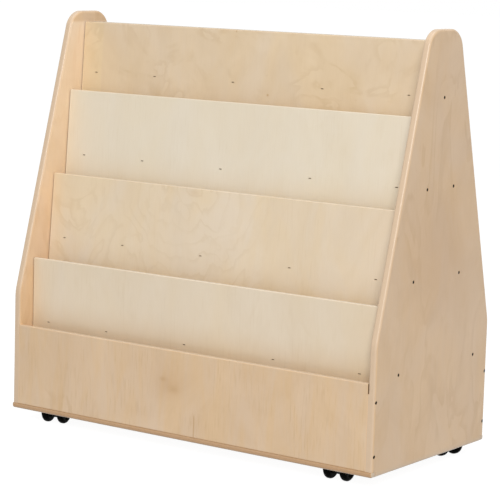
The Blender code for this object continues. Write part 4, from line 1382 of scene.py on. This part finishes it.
pin_middle = (0.0, 0.0, axle_height + PIN_BORE / 2 - FIT)
combine(hood, drum("pin_bore", PIN_RADIUS, PIN_BORE, pin_middle, STAND, sides=24))
print("hood faces:", len(hood.data.polygons))

# %% Axle
HEAD_SHAPE = ((0.0030, 0.0013), (0.0042, 0.0010), (0.0046, 0.0006), (0.0046, 0.0), (AXLE_RADIUS, 0.0))
reach = WHEEL_SPACING / 2 + WHEEL_HALF - SEAT_DEPTH + FIT
head_profile = [(radius, reach + height) for radius, height in HEAD_SHAPE]
foot_profile = [(radius, -height) for radius, height in reversed(head_profile)]
axle = turned("axle", head_profile + foot_profile, 32)
print("axle faces:", len(axle.data.polygons))

# %% [markdown]
# ## Four casters
# The casters' places and turns are read from the joints, because the parts have to turn about the very
# axes that the solids turn about. The hood and the axle ride on the swivel, and each wheel on its own body.

# %% Four casters
CORNERS = ("front_left", "front_right", "rear_right", "rear_left")
joints = {joint["name"]: joint for joint in frame["record"]["behaviour"]["joints"]}
along_axle = Matrix.Translation(axle_place) @ Matrix.Rotation(math.pi / 2, 4, "Y")
for corner in CORNERS:
    caster = f"{corner}_caster"
    pin = joints[f"{caster}_swivel_turn"]["pos_m"]
    axis = joints[f"{caster}_wheel_left_roll"]["axis"]
    place = Matrix.Translation((pin[0], pin[1], 0.0)) @ Matrix.Rotation(math.atan2(axis[1], axis[0]), 4, "Z")
    new_hood = copied(hood, f"{corner}_moulded_hood", place)
    hand_over(new_hood, hood_finish, f"{caster}_swivel", "hood_plastic", f"{caster}_hood")
    new_axle = copied(axle, f"{corner}_turned_axle", place @ along_axle)
    hand_over(new_axle, axle_finish, f"{caster}_swivel", "axle_steel", f"{caster}_axle")
    for label, facing in (("left", math.pi), ("right", 0.0)):
        outwards = Matrix.Rotation(facing, 4, "Y") @ Matrix.Translation((0.0, 0.0, WHEEL_SPACING / 2))
        new_wheel = copied(wheel, f"{corner}_moulded_wheel_{label}", place @ along_axle @ outwards)
        body = f"{caster}_wheel_{label}"
        hand_over(new_wheel, wheel_finish, body, "wheel_plastic", f"{caster}_wheel_{label}")
for model in (hood, axle, wheel):
    bpy.data.objects.remove(model)
print("casters:", len(CORNERS))

# %% [markdown]
# ## Finishes for the solids that stay
# Some solids are right as they are: the deck and the ledges inside the pockets, the stretcher between
# the uppermost panels, and the casters' plates, pins and washers. They only get a better finish.

# %% Finishes for the solids
INNER_VENEER = Veneer(linear(214, 190, 158))
INNER_PLIES = 9
INNER_SEED, SEED_STEP = 300.0, 9.1
INNER_BOARDS = ["bottom_deck", "top_stretcher"] + [
    f"{side}_ledge_{number}" for side in ("front", "rear") for number in (1, 2, 3)]


def dress(node, material):
    for material_slot in nodes[node].material_slots:
        material_slot.material = material


seed = INNER_SEED
for node in INNER_BOARDS:
    low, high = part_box(node)
    seed += SEED_STEP
    dress(node, birch_ply(f"inner_ply_{node}", INNER_VENEER, seed, (0.0, 0.0, low.z), GRAIN_ALONG_X,
                          high.z - low.z, INNER_PLIES))
caster_finishes = {"plate": zinc_finish, "kingpin": zinc_finish, "washer": washer_finish}
for corner in CORNERS:
    for part, material in caster_finishes.items():
        dress(f"{corner}_caster_{part}", material)
print("solids that stay:", len(INNER_BOARDS) + len(caster_finishes) * len(CORNERS))
